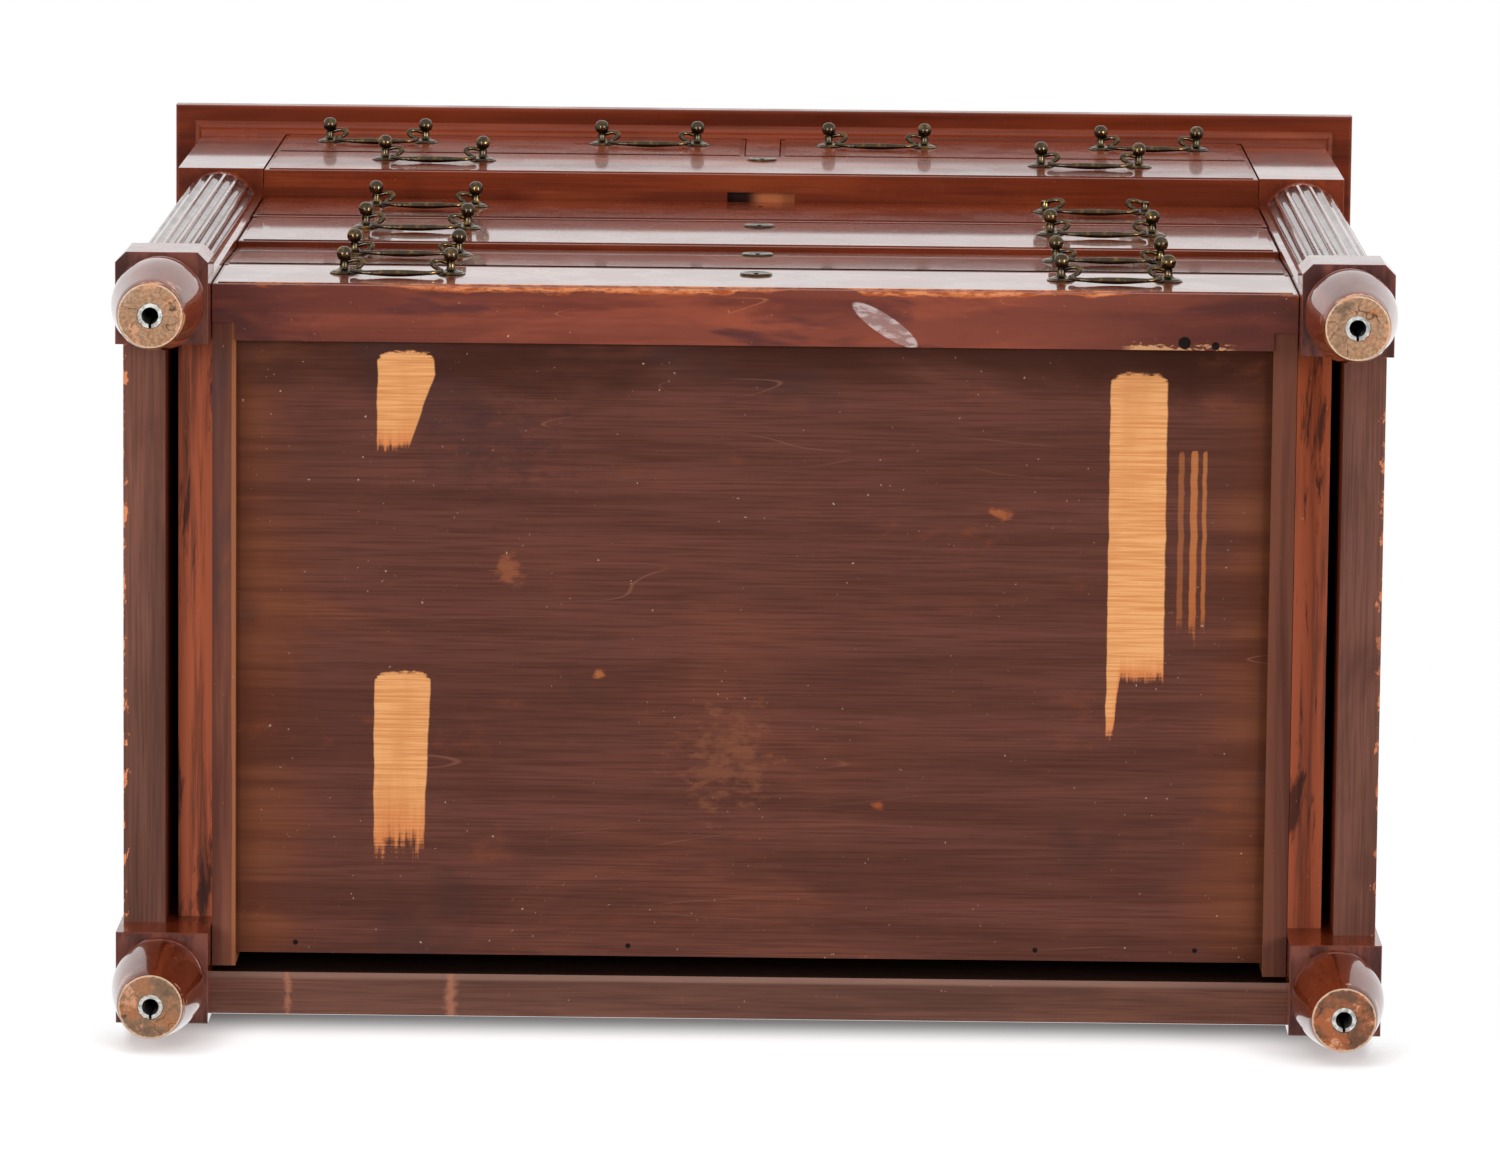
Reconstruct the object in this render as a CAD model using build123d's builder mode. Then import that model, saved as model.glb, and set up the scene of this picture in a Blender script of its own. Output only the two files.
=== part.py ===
from build123d import *
import os
from math import atan2, cos, hypot, radians, sin

# Chest of drawers in mahogany: four long recessed drawers between fluted corner columns,
# below a frieze that stands forward and holds one long and two small drawers.
# Millimetres. +X is the right hand of someone facing the front, the front faces -Y, +Z is up.
# The origin is on the floor, in the middle of the plan.

os.makedirs("parts", exist_ok=True)

# Heights, from the floor up
foot_height = 108
base_block_height = 61
column_height = 553
frieze_height = 290
moulding_height = 21
top_thickness = 22

# Plan over the corner posts, and the top board past them at the front and sides
body_width = 915
body_depth = 561
post_side = 66.6
top_overhang = 25
top_front_overhang = 21
top_edge_round = 3
moulding_reach = 8.6
moulding_fillet_share = 0.22
moulding_cove_shares = (0.5, 0.5)
moulding_foot_shares = (0.3, 0.85)

# Turned feet with a split metal sleeve for a caster
foot_tip_radius = 23.25
foot_bulge_radius = 33
foot_neck_radius = 26.5
foot_ring_radius = 30.5
foot_sides = 20
foot_outline_shares = (
    (foot_tip_radius, 0),
    (foot_tip_radius + (foot_bulge_radius - foot_tip_radius) * 0.7, 0.35),
    (foot_bulge_radius, 0.67),
    (foot_neck_radius, 0.82),
    (foot_ring_radius, 0.86),
    (foot_ring_radius, 1),
)
sleeve_sides = 12
sleeve_radius = 9
sleeve_bore_radius = 6
sleeve_length = 38
sleeve_slot = 2
sleeve_rise = 0.3

# Fluted three-quarter columns
column_radius = 31.2
column_inner_reach = 12
column_stile_depth = 18
flute_radius = 3.9
flute_depth = 3.3
flute_sides = 16
flute_pitch = 18
flute_inner_count = 3
flute_outer_count = 6
flute_margin = 20
block_chamfer = 7.5

# Side and back frames
side_inset = 2.6
side_rail_thickness = 30.4
rail_base_rise = 40
lower_rail_height = 72
upper_rail_height = 70
panel_thickness = 10
panel_groove = 8
back_rail_thickness = 31
back_panel_thickness = 8
muntin_width = 60

# Front rails and the divider between the small drawers
front_rail_height = 20
front_rail_depth = 62
divider_width = 27
mortise_width = 53
mortise_depth = 12
mortise_height = 11

# Drawers
lower_heights = (122, 154, 169, 137)
lower_recess = 23.5
lower_recess_shares = (1.055, 1.2, 1.0, 0.94)
frieze_drawer_share = 0.5
front_thickness = 42
lip_thickness = 15
drawer_gap = 2
drawer_side_gap = 0.6
drawer_back_gap = 2
field_margin = 4
field_rise = 0.9
front_edge_chamfer = 1.8
side_thickness = 17
side_lap = 13
side_drop = 12
side_rise = 2
side_tail = 9
back_thickness = 14
back_drop = 6
bottom_thickness = 8
bottom_rise = 6
bottom_groove = 6

# Side-hung running gear
runner_gap = 1.6
runner_width = 24.5
runner_height = 26
tongue_reach = 7
tongue_height = 10
tongue_gap = 0.4
groove_height_share = 0.42

# Brasses
handle_spacing = 77.6
handle_place_share = 0.667
small_handle_place_share = 0.586
handle_height_share = 0.57
rosette_radius = 10.5
rosette_rim = 0.9
rosette_height = 3.4
rosette_cone_share = 0.8
neck_radius = 3.1
broken_neck_share = 0.8
ball_radius = 5.5
ball_standoff = 14.2
ball_cut_share = 0.56
turning_sides = 8
wire_sides = 6
pivot_standoff = 8
pin_radius = 1.5
pin_fit = 0.06
bail_side_gap = 0.4
bail_drop = 26
bail_bar_standoff = 3.2
bail_wire_radius = 1.5
bail_swell_radius = 2.6
bail_swell_length = 34
bail_swell_cut_shares = (0.34, 0.28)
bail_hub_radius = 2.4
bail_arm_shares = ((1, 0), (0.82, 0.08), (0.74, 0.5), (0.52, 1))
beak_length = 8
beak_taper_share = 0.6
beak_lift = 28
beak_heel_share = 0.8
escutcheon_radius = 12
escutcheon_sides = 16
escutcheon_thickness = 1.2
keyhole_drop = 34
keyhole_radius = 2.6
keyhole_slot_width = 2.6
keyhole_slot_length = 8
lock_width = 58
lock_height = 40
lock_thickness = 11

# Levels and planes that follow
block_base = foot_height
column_base = block_base + base_block_height
frieze_base = column_base + column_height
frieze_top = frieze_base + frieze_height
top_base = frieze_top + moulding_height
total_height = top_base + top_thickness
right = body_width / 2
post_x = right - post_side / 2
inner_x = right - post_side
rear_y = (body_depth + top_front_overhang) / 2
front_y = rear_y - body_depth
front_post_y = front_y + post_side / 2
rear_post_y = rear_y - post_side / 2
frame_front_y = front_y + post_side
frame_rear_y = rear_y - post_side
rail_base = block_base + rail_base_rise
frame_panel_base = rail_base + lower_rail_height
frame_panel_top = top_base - upper_rail_height
tongue_x = inner_x - drawer_side_gap
runner_x = inner_x + runner_gap


def keep(piece, name):
    """Label a finished piece and write it out."""
    piece.part.label = name
    export_step(piece.part, "parts/" + name + ".step")


def keep_group(boards, name):
    """Label several boards that touch but stay separate, and write them out as one group."""
    group = Compound([board.part.solid() for board in boards])
    group.label = name
    export_step(group, "parts/" + name + ".step")


def slab(low, high, mode=Mode.ADD):
    """A squared piece of timber between two opposite corners."""
    middle = [(a + b) / 2 for a, b in zip(low, high)]
    with Locations(tuple(middle)):
        Box(*[b - a for a, b in zip(low, high)], mode=mode)


def upright(x, y, z=0):
    """A level plane with its origin at a post's axis."""
    return Plane(origin=(x, y, z), x_dir=(1, 0, 0), z_dir=(0, 0, 1))


def turned_foot():
    """A tapered foot at the origin, its bulge, groove and ring, bored for the caster's sleeve."""
    half = [(radius, share * foot_height) for radius, share in foot_outline_shares]
    outline = half + [(-radius, z) for radius, z in reversed(half)]
    with BuildPart() as foot:
        for n in range(foot_sides // 2):
            turn = radians(360 / foot_sides * n)
            across = Plane(
                origin=(0, 0, 0),
                x_dir=(cos(turn), sin(turn), 0),
                z_dir=(sin(turn), -cos(turn), 0),
            )
            with BuildSketch(across):
                with BuildLine():
                    Polyline(*outline, close=True)
                make_face()
            extrude(amount=post_side, both=True, mode=Mode.INTERSECT if n else Mode.ADD)
        with BuildSketch():
            RegularPolygon(sleeve_radius, sleeve_sides)
        extrude(amount=sleeve_rise + sleeve_length, mode=Mode.SUBTRACT)
    return foot.part


foot = turned_foot()


def base_block(x, y, chamfered):
    """The square block above the foot, with the front corners cut where it shows."""
    with BuildSketch(upright(x, y, block_base)) as plan:
        Rectangle(post_side, post_side)
        if chamfered:
            chamfer(plan.vertices().group_by(Axis.Y)[0], length=block_chamfer)
    extrude(plan.sketch, amount=base_block_height)


# Front posts: foot, block, fluted column and upper block from one length of timber
with BuildPart() as front_right_post:
    with Locations((post_x, front_post_y, 0)):
        add(foot)
    base_block(post_x, front_post_y, True)
    with BuildSketch(upright(post_x, front_post_y, column_base)):
        Circle(column_radius)
        with Locations((-post_side / 4, (post_side / 2 - column_inner_reach) / 2)):
            Rectangle(post_side / 2, post_side / 2 + column_inner_reach)
        with Locations((-side_inset / 2, (post_side - column_stile_depth) / 2)):
            Rectangle(post_side - side_inset, column_stile_depth)
    extrude(amount=column_height)
    flute_turns = [flute_pitch * n for n in range(-flute_inner_count, flute_outer_count + 1)]
    flute_circle = column_radius + flute_radius - flute_depth
    flute_base = column_base + flute_margin
    flute_length = column_height - flute_margin * 2
    flute_spots = [
        (post_x + flute_circle * sin(radians(turn)), front_post_y - flute_circle * cos(radians(turn)))
        for turn in flute_turns
    ]
    with BuildSketch(upright(0, 0, flute_base)):
        with Locations(*flute_spots):
            RegularPolygon(flute_radius, flute_sides)
    extrude(amount=flute_length, mode=Mode.SUBTRACT)
    with BuildSketch(upright(post_x, front_post_y, frieze_base)):
        Rectangle(post_side, post_side)
    extrude(amount=top_base - frieze_base)
keep(front_right_post, "front_right_post")

with BuildPart() as front_left_post:
    mirror(front_right_post.part, about=Plane.YZ)
keep(front_left_post, "front_left_post")

# Rear posts: foot and block below a plain square stile
with BuildPart() as rear_right_post:
    with Locations((post_x, rear_post_y, 0)):
        add(foot)
    base_block(post_x, rear_post_y, False)
    with BuildSketch(upright(post_x, rear_post_y, column_base)):
        Rectangle(post_side, post_side)
    extrude(amount=top_base - column_base)
keep(rear_right_post, "rear_right_post")

with BuildPart() as rear_left_post:
    mirror(rear_right_post.part, about=Plane.YZ)
keep(rear_left_post, "rear_left_post")

# Split metal sleeves that the caster stems push into
with BuildPart() as caster_sockets:
    for x in (-post_x, post_x):
        for y in (front_post_y, rear_post_y):
            with BuildSketch(upright(x, y, sleeve_rise)):
                RegularPolygon(sleeve_radius, sleeve_sides)
                Circle(sleeve_bore_radius, mode=Mode.SUBTRACT)
                Rectangle(sleeve_slot, sleeve_radius * 2, align=(Align.CENTER, Align.MIN), mode=Mode.SUBTRACT)
            extrude(amount=sleeve_length)
keep(caster_sockets, "caster_sockets")

# Top board, rounded along its front and side edges
with BuildPart() as top_board:
    slab(
        (-right - top_overhang, front_y - top_front_overhang, top_base),
        (right + top_overhang, rear_y, total_height),
    )
    shown = top_board.edges().filter_by(Axis.Z, reverse=True).group_by(Axis.Y)[0]
    ends = top_board.edges().filter_by(Axis.Y)
    fillet(shown + ends, radius=top_edge_round)
keep(top_board, "top_board")

# Moulding below the top board, mitred at the front corners
with BuildPart() as top_moulding:
    with BuildLine():
        Polyline(
            (-right, rear_y, top_base),
            (-right, front_y, top_base),
            (right, front_y, top_base),
            (right, rear_y, top_base),
        )
    with BuildSketch(Plane(origin=(-right, rear_y, top_base), x_dir=(-1, 0, 0), z_dir=(0, -1, 0))):
        with BuildLine():
            shoulder = (moulding_reach, moulding_height * moulding_fillet_share)
            hollow = (moulding_reach * moulding_cove_shares[0], moulding_height * moulding_cove_shares[1])
            toe = (moulding_reach * moulding_foot_shares[0], moulding_height * moulding_foot_shares[1])
            Line((0, 0), (moulding_reach, 0))
            Line((moulding_reach, 0), shoulder)
            ThreePointArc(shoulder, hollow, toe)
            Line(toe, (0, moulding_height))
            Line((0, moulding_height), (0, 0))
        make_face()
    sweep(transition=Transition.RIGHT)
keep(top_moulding, "top_moulding")

# Side frames: a lower and an upper rail, grooved for the panel
rail_outer_x = right - side_inset
rail_inner_x = rail_outer_x - side_rail_thickness
panel_x = (rail_outer_x + rail_inner_x) / 2
frame_depth = frame_rear_y - frame_front_y

with BuildPart() as right_side_rails:
    slab((rail_inner_x, frame_front_y, rail_base), (rail_outer_x, frame_rear_y, frame_panel_base))
    slab((rail_inner_x, frame_front_y, frame_panel_top), (rail_outer_x, frame_rear_y, top_base))
    slab(
        (panel_x - panel_thickness / 2, frame_front_y, frame_panel_base - panel_groove),
        (panel_x + panel_thickness / 2, frame_rear_y, frame_panel_top + panel_groove),
        mode=Mode.SUBTRACT,
    )
keep(right_side_rails, "right_side_rails")

with BuildPart() as left_side_rails:
    mirror(right_side_rails.part, about=Plane.YZ)
keep(left_side_rails, "left_side_rails")

with BuildPart() as right_side_panel:
    slab(
        (panel_x - panel_thickness / 2, frame_front_y, frame_panel_base - panel_groove),
        (panel_x + panel_thickness / 2, frame_rear_y, frame_panel_top + panel_groove),
    )
keep(right_side_panel, "right_side_panel")

with BuildPart() as left_side_panel:
    mirror(right_side_panel.part, about=Plane.YZ)
keep(left_side_panel, "left_side_panel")

# Back frame: two rails and a muntin, and the two panels let into them
back_front_y = rear_y - back_rail_thickness
back_panel_y = rear_y - back_rail_thickness / 2


def back_panels(mode):
    """Both back panels with their edges in the grooves."""
    for side in (-1, 1):
        ends = sorted((side * (muntin_width / 2 - panel_groove), side * inner_x))
        slab(
            (ends[0], back_panel_y - back_panel_thickness / 2, frame_panel_base - panel_groove),
            (ends[1], back_panel_y + back_panel_thickness / 2, frame_panel_top + panel_groove),
            mode=mode,
        )


with BuildPart() as back_rails:
    slab((-inner_x, back_front_y, rail_base), (inner_x, rear_y, frame_panel_base))
    slab((-inner_x, back_front_y, frame_panel_top), (inner_x, rear_y, top_base))
    back_panels(Mode.SUBTRACT)
keep(back_rails, "back_rails")

with BuildPart() as back_muntin:
    slab((-muntin_width / 2, back_front_y, frame_panel_base), (muntin_width / 2, rear_y, frame_panel_top))
    back_panels(Mode.SUBTRACT)
keep(back_muntin, "back_muntin")

with BuildPart() as back_panel:
    back_panels(Mode.ADD)
keep(back_panel, "back_panel")

# Front rails: the frieze rail with its lock mortise, the rail between the frieze tiers, and
# the rail under the top board that carries the moulding
lip_back_y = front_y + lip_thickness
middle_rail_base = frieze_base + frieze_height * frieze_drawer_share


with BuildPart() as frieze_rail:
    slab(
        (-inner_x, lip_back_y, frieze_base),
        (inner_x, lip_back_y + front_rail_depth, frieze_base + front_rail_height),
    )
    slab(
        (-mortise_width / 2, lip_back_y, frieze_base),
        (mortise_width / 2, lip_back_y + mortise_depth, frieze_base + mortise_height),
        mode=Mode.SUBTRACT,
    )
keep(frieze_rail, "frieze_rail")

with BuildPart() as front_rails:
    slab(
        (-inner_x, lip_back_y, middle_rail_base),
        (inner_x, lip_back_y + front_rail_depth, middle_rail_base + front_rail_height),
    )
    slab((-inner_x, front_y, frieze_top), (inner_x, front_y + front_rail_depth, top_base))
keep(front_rails, "front_rails")


class Drawer:
    """The place and size of one drawer, all worked out from the case that it fits."""

    def __init__(self, name, low_x, high_x, low_z, high_z, recess, rail):
        self.name = name
        self.low_x = low_x + drawer_side_gap
        self.high_x = high_x - drawer_side_gap
        self.low_z = low_z + drawer_gap / 2
        self.high_z = high_z - drawer_gap / 2
        self.face_y = front_y + recess
        self.back_y = self.face_y + front_thickness
        self.lock_y = self.face_y + lip_thickness
        self.end_y = self.face_y + drawer_length
        self.rail = rail
        lift = rail + drawer_gap / 2 if rail else side_rise
        self.box_z = self.low_z + lift
        self.box_top = self.high_z - side_drop
        self.groove_z = self.box_z + (self.box_top - self.box_z) * groove_height_share
        self.middle_x = (self.low_x + self.high_x) / 2
        self.key_z = self.high_z - keyhole_drop
        self.handle_z = self.low_z + (self.high_z - self.low_z) * handle_height_share


drawer_reach = back_front_y - front_y - lower_recess * max(lower_recess_shares) - drawer_back_gap
drawer_length = drawer_reach - side_tail
drawers = []
tier_z = frieze_base - sum(lower_heights)
for number, (height, share) in enumerate(zip(lower_heights, lower_recess_shares), start=1):
    drawers.append(
        Drawer("drawer_" + str(number), -inner_x, inner_x, tier_z, tier_z + height, lower_recess * share, 0)
    )
    tier_z += height
drawers.append(Drawer("drawer_5", -inner_x, inner_x, frieze_base, middle_rail_base, 0, front_rail_height))
small_edge = divider_width / 2
drawers.append(
    Drawer("left_small_drawer", -inner_x, -small_edge, middle_rail_base, frieze_top, 0, front_rail_height)
)
drawers.append(
    Drawer("right_small_drawer", small_edge, inner_x, middle_rail_base, frieze_top, 0, front_rail_height)
)
small = drawers[-1]

# Divider between the small drawers, with a tongue on each side that they run on
with BuildPart() as small_drawer_divider:
    slab(
        (-small_edge, front_y, middle_rail_base + front_rail_height),
        (small_edge, back_front_y, frieze_top),
    )
    slab(
        (-small_edge, front_y, middle_rail_base + drawer_gap / 2),
        (small_edge, lip_back_y, middle_rail_base + front_rail_height),
    )
    reach = small_edge + drawer_side_gap + tongue_reach
    slab(
        (-reach, frame_front_y, small.groove_z - tongue_height / 2),
        (reach, frame_rear_y, small.groove_z + tongue_height / 2),
    )
keep(small_drawer_divider, "small_drawer_divider")

# Runners along both side frames: a bar butted between the posts, with a tongue for the drawer
with BuildPart() as drawer_runners:
    levels = sorted(set(drawer.groove_z for drawer in drawers))
    for level in levels:
        for side in (-1, 1):
            bar = sorted((side * runner_x, side * (runner_x + runner_width)))
            tongue = sorted((side * runner_x, side * (tongue_x - tongue_reach)))
            slab(
                (bar[0], frame_front_y, level - runner_height / 2),
                (bar[1], frame_rear_y, level + runner_height / 2),
            )
            slab(
                (tongue[0], frame_front_y, level - tongue_height / 2),
                (tongue[1], frame_rear_y, level + tongue_height / 2),
            )
keep(drawer_runners, "drawer_runners")


def keyhole(x, y, z, depth):
    """Cut a keyhole, a round with a slot below it, from a face backwards."""
    with BuildSketch(Plane(origin=(x, y, z), x_dir=(1, 0, 0), z_dir=(0, -1, 0))) as hole:
        RegularPolygon(keyhole_radius, turning_sides)
        Rectangle(keyhole_slot_width, keyhole_slot_length, align=(Align.CENTER, Align.MAX))
    extrude(hole.sketch, amount=-depth, mode=Mode.SUBTRACT)


def drawer_front(drawer):
    """The thick front: a field raised inside its softened edge, rebated over a rail where it
    has one, and let in for the sides and bottom."""
    with BuildPart() as front:
        slab(
            (drawer.low_x, drawer.face_y + field_rise, drawer.low_z),
            (drawer.high_x, drawer.back_y, drawer.high_z),
        )
        chamfer(front.faces().sort_by(Axis.Y)[0].edges(), length=front_edge_chamfer)
        slab(
            (drawer.low_x + field_margin, drawer.face_y, drawer.low_z + field_margin),
            (drawer.high_x - field_margin, drawer.back_y, drawer.high_z - field_margin),
        )
        if drawer.rail:
            slab(
                (drawer.low_x, drawer.face_y + lip_thickness, drawer.low_z),
                (drawer.high_x, drawer.back_y, drawer.box_z),
                mode=Mode.SUBTRACT,
            )
        for low, high in (
            (drawer.low_x, drawer.low_x + side_thickness),
            (drawer.high_x - side_thickness, drawer.high_x),
        ):
            slab(
                (low, drawer.back_y - side_lap, drawer.low_z),
                (high, drawer.back_y, drawer.box_top),
                mode=Mode.SUBTRACT,
            )
        slab(
            (drawer.low_x + side_thickness, drawer.back_y - bottom_groove, drawer.box_z + bottom_rise),
            (
                drawer.high_x - side_thickness,
                drawer.back_y,
                drawer.box_z + bottom_rise + bottom_thickness,
            ),
            mode=Mode.SUBTRACT,
        )
        if drawer.name.startswith("drawer"):
            keyhole(drawer.middle_x, drawer.face_y, drawer.key_z, front_thickness)
            slab(
                (drawer.middle_x - lock_width / 2, drawer.lock_y, drawer.high_z - lock_height),
                (drawer.middle_x + lock_width / 2, drawer.back_y, drawer.high_z),
                mode=Mode.SUBTRACT,
            )
    keep(front, drawer.name + "_front")


def drawer_box(drawer):
    """Two grooved sides and the back between them."""
    floor_base = drawer.box_z + bottom_rise
    floor_top = floor_base + bottom_thickness
    boards = []
    for outer, turn in ((drawer.low_x, 1), (drawer.high_x, -1)):
        inner = outer + turn * side_thickness
        span = sorted((outer, inner))
        groove = sorted((outer, outer + turn * (tongue_reach + tongue_gap)))
        plough = sorted((inner, inner - turn * bottom_groove))
        with BuildPart() as side:
            slab(
                (span[0], drawer.back_y - side_lap, drawer.box_z),
                (span[1], drawer.end_y + side_tail, drawer.box_top),
            )
            slab(
                (groove[0], frame_front_y - tongue_gap, drawer.groove_z - tongue_height / 2 - tongue_gap),
                (groove[1], drawer.end_y + side_tail, drawer.groove_z + tongue_height / 2 + tongue_gap),
                mode=Mode.SUBTRACT,
            )
            slab(
                (plough[0], drawer.back_y, floor_base),
                (plough[1], drawer.end_y + side_tail, floor_top),
                mode=Mode.SUBTRACT,
            )
        boards.append(side)
    with BuildPart() as back:
        slab(
            (drawer.low_x + side_thickness, drawer.end_y - back_thickness, floor_top),
            (drawer.high_x - side_thickness, drawer.end_y, drawer.box_top - back_drop),
        )
    boards.append(back)
    keep_group(boards, drawer.name + "_box")


def drawer_bottom(drawer):
    """The bottom board, in grooves at the front and sides and nailed up into the back."""
    with BuildPart() as bottom:
        slab(
            (
                drawer.low_x + side_thickness,
                drawer.back_y - bottom_groove,
                drawer.box_z + bottom_rise,
            ),
            (
                drawer.high_x - side_thickness,
                drawer.back_y,
                drawer.box_z + bottom_rise + bottom_thickness,
            ),
        )
        slab(
            (
                drawer.low_x + side_thickness - bottom_groove,
                drawer.back_y,
                drawer.box_z + bottom_rise,
            ),
            (
                drawer.high_x - side_thickness + bottom_groove,
                drawer.end_y,
                drawer.box_z + bottom_rise + bottom_thickness,
            ),
        )
    keep(bottom, drawer.name + "_bottom")


def handle_centres(drawer):
    """The middles of a drawer's two handles."""
    share = handle_place_share if drawer.name.startswith("drawer") else small_handle_place_share
    reach = (drawer.high_x - drawer.low_x) / 2 * share
    return [("left", drawer.middle_x - reach), ("right", drawer.middle_x + reach)]


def bead(radius, length, sides, base_cut=None, end_cut=None):
    """A turned bead with flats round it, standing on the XY plane, with either end cut to a cone."""
    with BuildPart() as form:
        with BuildSketch():
            RegularPolygon(radius, sides)
        extrude(amount=length)
        for index, cut in ((0, base_cut), (-1, end_cut)):
            if cut:
                face = form.faces().sort_by(Axis.Z)[index]
                chamfer(face.edges(), length=cut[0], length2=cut[1], reference=face)
    return form.part


rosette = bead(
    rosette_radius,
    rosette_height,
    turning_sides,
    end_cut=((rosette_radius - neck_radius) * rosette_cone_share, rosette_height - rosette_rim),
)
neck = bead(neck_radius, ball_standoff, turning_sides)
broken_neck = bead(neck_radius, ball_standoff * broken_neck_share, turning_sides)
ball_cut = (ball_radius * ball_cut_share, ball_radius * ball_cut_share)
ball = bead(ball_radius, ball_radius * 2, turning_sides, ball_cut, ball_cut)


def handle_post(has_ball):
    """A turned post at the origin: rosette, neck bored for the bail's pin, and ball."""
    forwards = Plane(origin=(0, 0, 0), x_dir=(1, 0, 0), z_dir=(0, -1, 0))
    with BuildPart() as post:
        with Locations(forwards):
            add(rosette)
            add(neck if has_ball else broken_neck)
        if has_ball:
            with Locations(forwards.offset(ball_standoff - ball_radius)):
                add(ball)
        with BuildSketch(Plane(origin=(0, -pivot_standoff, 0), x_dir=(0, 1, 0), z_dir=(1, 0, 0))):
            RegularPolygon(pin_radius + pin_fit, turning_sides, major_radius=False)
        extrude(amount=rosette_radius, both=True, mode=Mode.SUBTRACT)
    return post.part


whole_post = handle_post(True)
broken_post = handle_post(False)


def drawer_brasses(drawer):
    """Handle posts, escutcheon and lock."""
    with BuildPart() as brasses:
        for side, x in handle_centres(drawer):
            has_balls = not (drawer.name == "drawer_4" and side == "right")
            ends = (x - handle_spacing / 2, x + handle_spacing / 2)
            with Locations(*[(end, drawer.face_y, drawer.handle_z) for end in ends]):
                add(whole_post if has_balls else broken_post)
        if drawer.name.startswith("drawer"):
            if drawer.name != "drawer_4":
                with BuildSketch(
                    Plane(
                        origin=(drawer.middle_x, drawer.face_y, drawer.key_z),
                        x_dir=(1, 0, 0),
                        z_dir=(0, -1, 0),
                    )
                ):
                    RegularPolygon(escutcheon_radius, escutcheon_sides)
                    RegularPolygon(keyhole_radius, turning_sides, mode=Mode.SUBTRACT)
                    Rectangle(
                        keyhole_slot_width,
                        keyhole_slot_length,
                        align=(Align.CENTER, Align.MAX),
                        mode=Mode.SUBTRACT,
                    )
                extrude(amount=escutcheon_thickness)
            slab(
                (drawer.middle_x - lock_width / 2, drawer.lock_y, drawer.high_z - lock_height),
                (drawer.middle_x + lock_width / 2, drawer.lock_y + lock_thickness, drawer.high_z),
            )
    keep(brasses, drawer.name + "_brasses")


swell_cut = (bail_swell_radius * bail_swell_cut_shares[0], bail_swell_length * bail_swell_cut_shares[1])
swell = bead(bail_swell_radius, bail_swell_length, wire_sides, swell_cut, swell_cut)
beak = bead(
    bail_hub_radius,
    beak_length + bail_hub_radius * beak_heel_share,
    wire_sides,
    end_cut=(bail_hub_radius * beak_taper_share, beak_length),
)


def swan_neck_bail():
    """A bail with its pins on the X axis: arms, swelled bar, hubs with beaks, and pins."""
    half = handle_spacing / 2
    lean = atan2(pivot_standoff - bail_bar_standoff, bail_drop)
    drop = hypot(pivot_standoff - bail_bar_standoff, bail_drop)
    hub_x = half - neck_radius - bail_side_gap - bail_hub_radius
    pin_x = hub_x - bail_hub_radius / 2
    arm = [(hub_x * across, -drop * down) for across, down in bail_arm_shares]
    hanging = Plane(origin=(0, 0, 0), x_dir=(1, 0, 0), z_dir=(0, -cos(lean), -sin(lean)))
    route = [hanging.from_local_coords((-u, v, 0)) for u, v in arm]
    route += [hanging.from_local_coords((u, v, 0)) for u, v in reversed(arm)]
    with BuildPart() as bail:
        with BuildLine():
            Polyline(*route)
        with BuildSketch(Plane(origin=route[0], z_dir=route[1] - route[0])):
            RegularPolygon(bail_wire_radius, wire_sides)
        sweep(transition=Transition.RIGHT)
        bar = Plane(origin=hanging.from_local_coords((0, -drop, 0)), z_dir=(1, 0, 0))
        with Locations(bar.offset(-bail_swell_length / 2)):
            add(swell)
        for end in (-1, 1):
            hub = hanging.from_local_coords((end * hub_x, 0, 0))
            lift = radians(beak_lift)
            pointing = Plane(origin=hub, z_dir=(-end * cos(lift), -sin(lift), 0))
            with Locations(pointing.offset(-bail_hub_radius * beak_heel_share)):
                add(beak)
            pin_start = hanging.from_local_coords((end * pin_x, 0, 0))
            with BuildSketch(Plane(origin=pin_start, z_dir=(end, 0, 0))):
                RegularPolygon(pin_radius, turning_sides)
            extrude(amount=half - pin_x + neck_radius)
    return bail.part


bail_shape = swan_neck_bail()


def drawer_bails(drawer):
    """The drawer's two bails, each on the pins in its posts."""
    for side, x in handle_centres(drawer):
        with BuildPart() as bail:
            with Locations((x, drawer.face_y - pivot_standoff, drawer.handle_z)):
                add(bail_shape)
        keep(bail, drawer.name + "_" + side + "_bail")


for drawer in drawers:
    drawer_front(drawer)
    drawer_box(drawer)
    drawer_bottom(drawer)
    drawer_brasses(drawer)
    drawer_bails(drawer)
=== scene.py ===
import math

import bmesh
import bpy
from mathutils import Matrix, Vector


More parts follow.
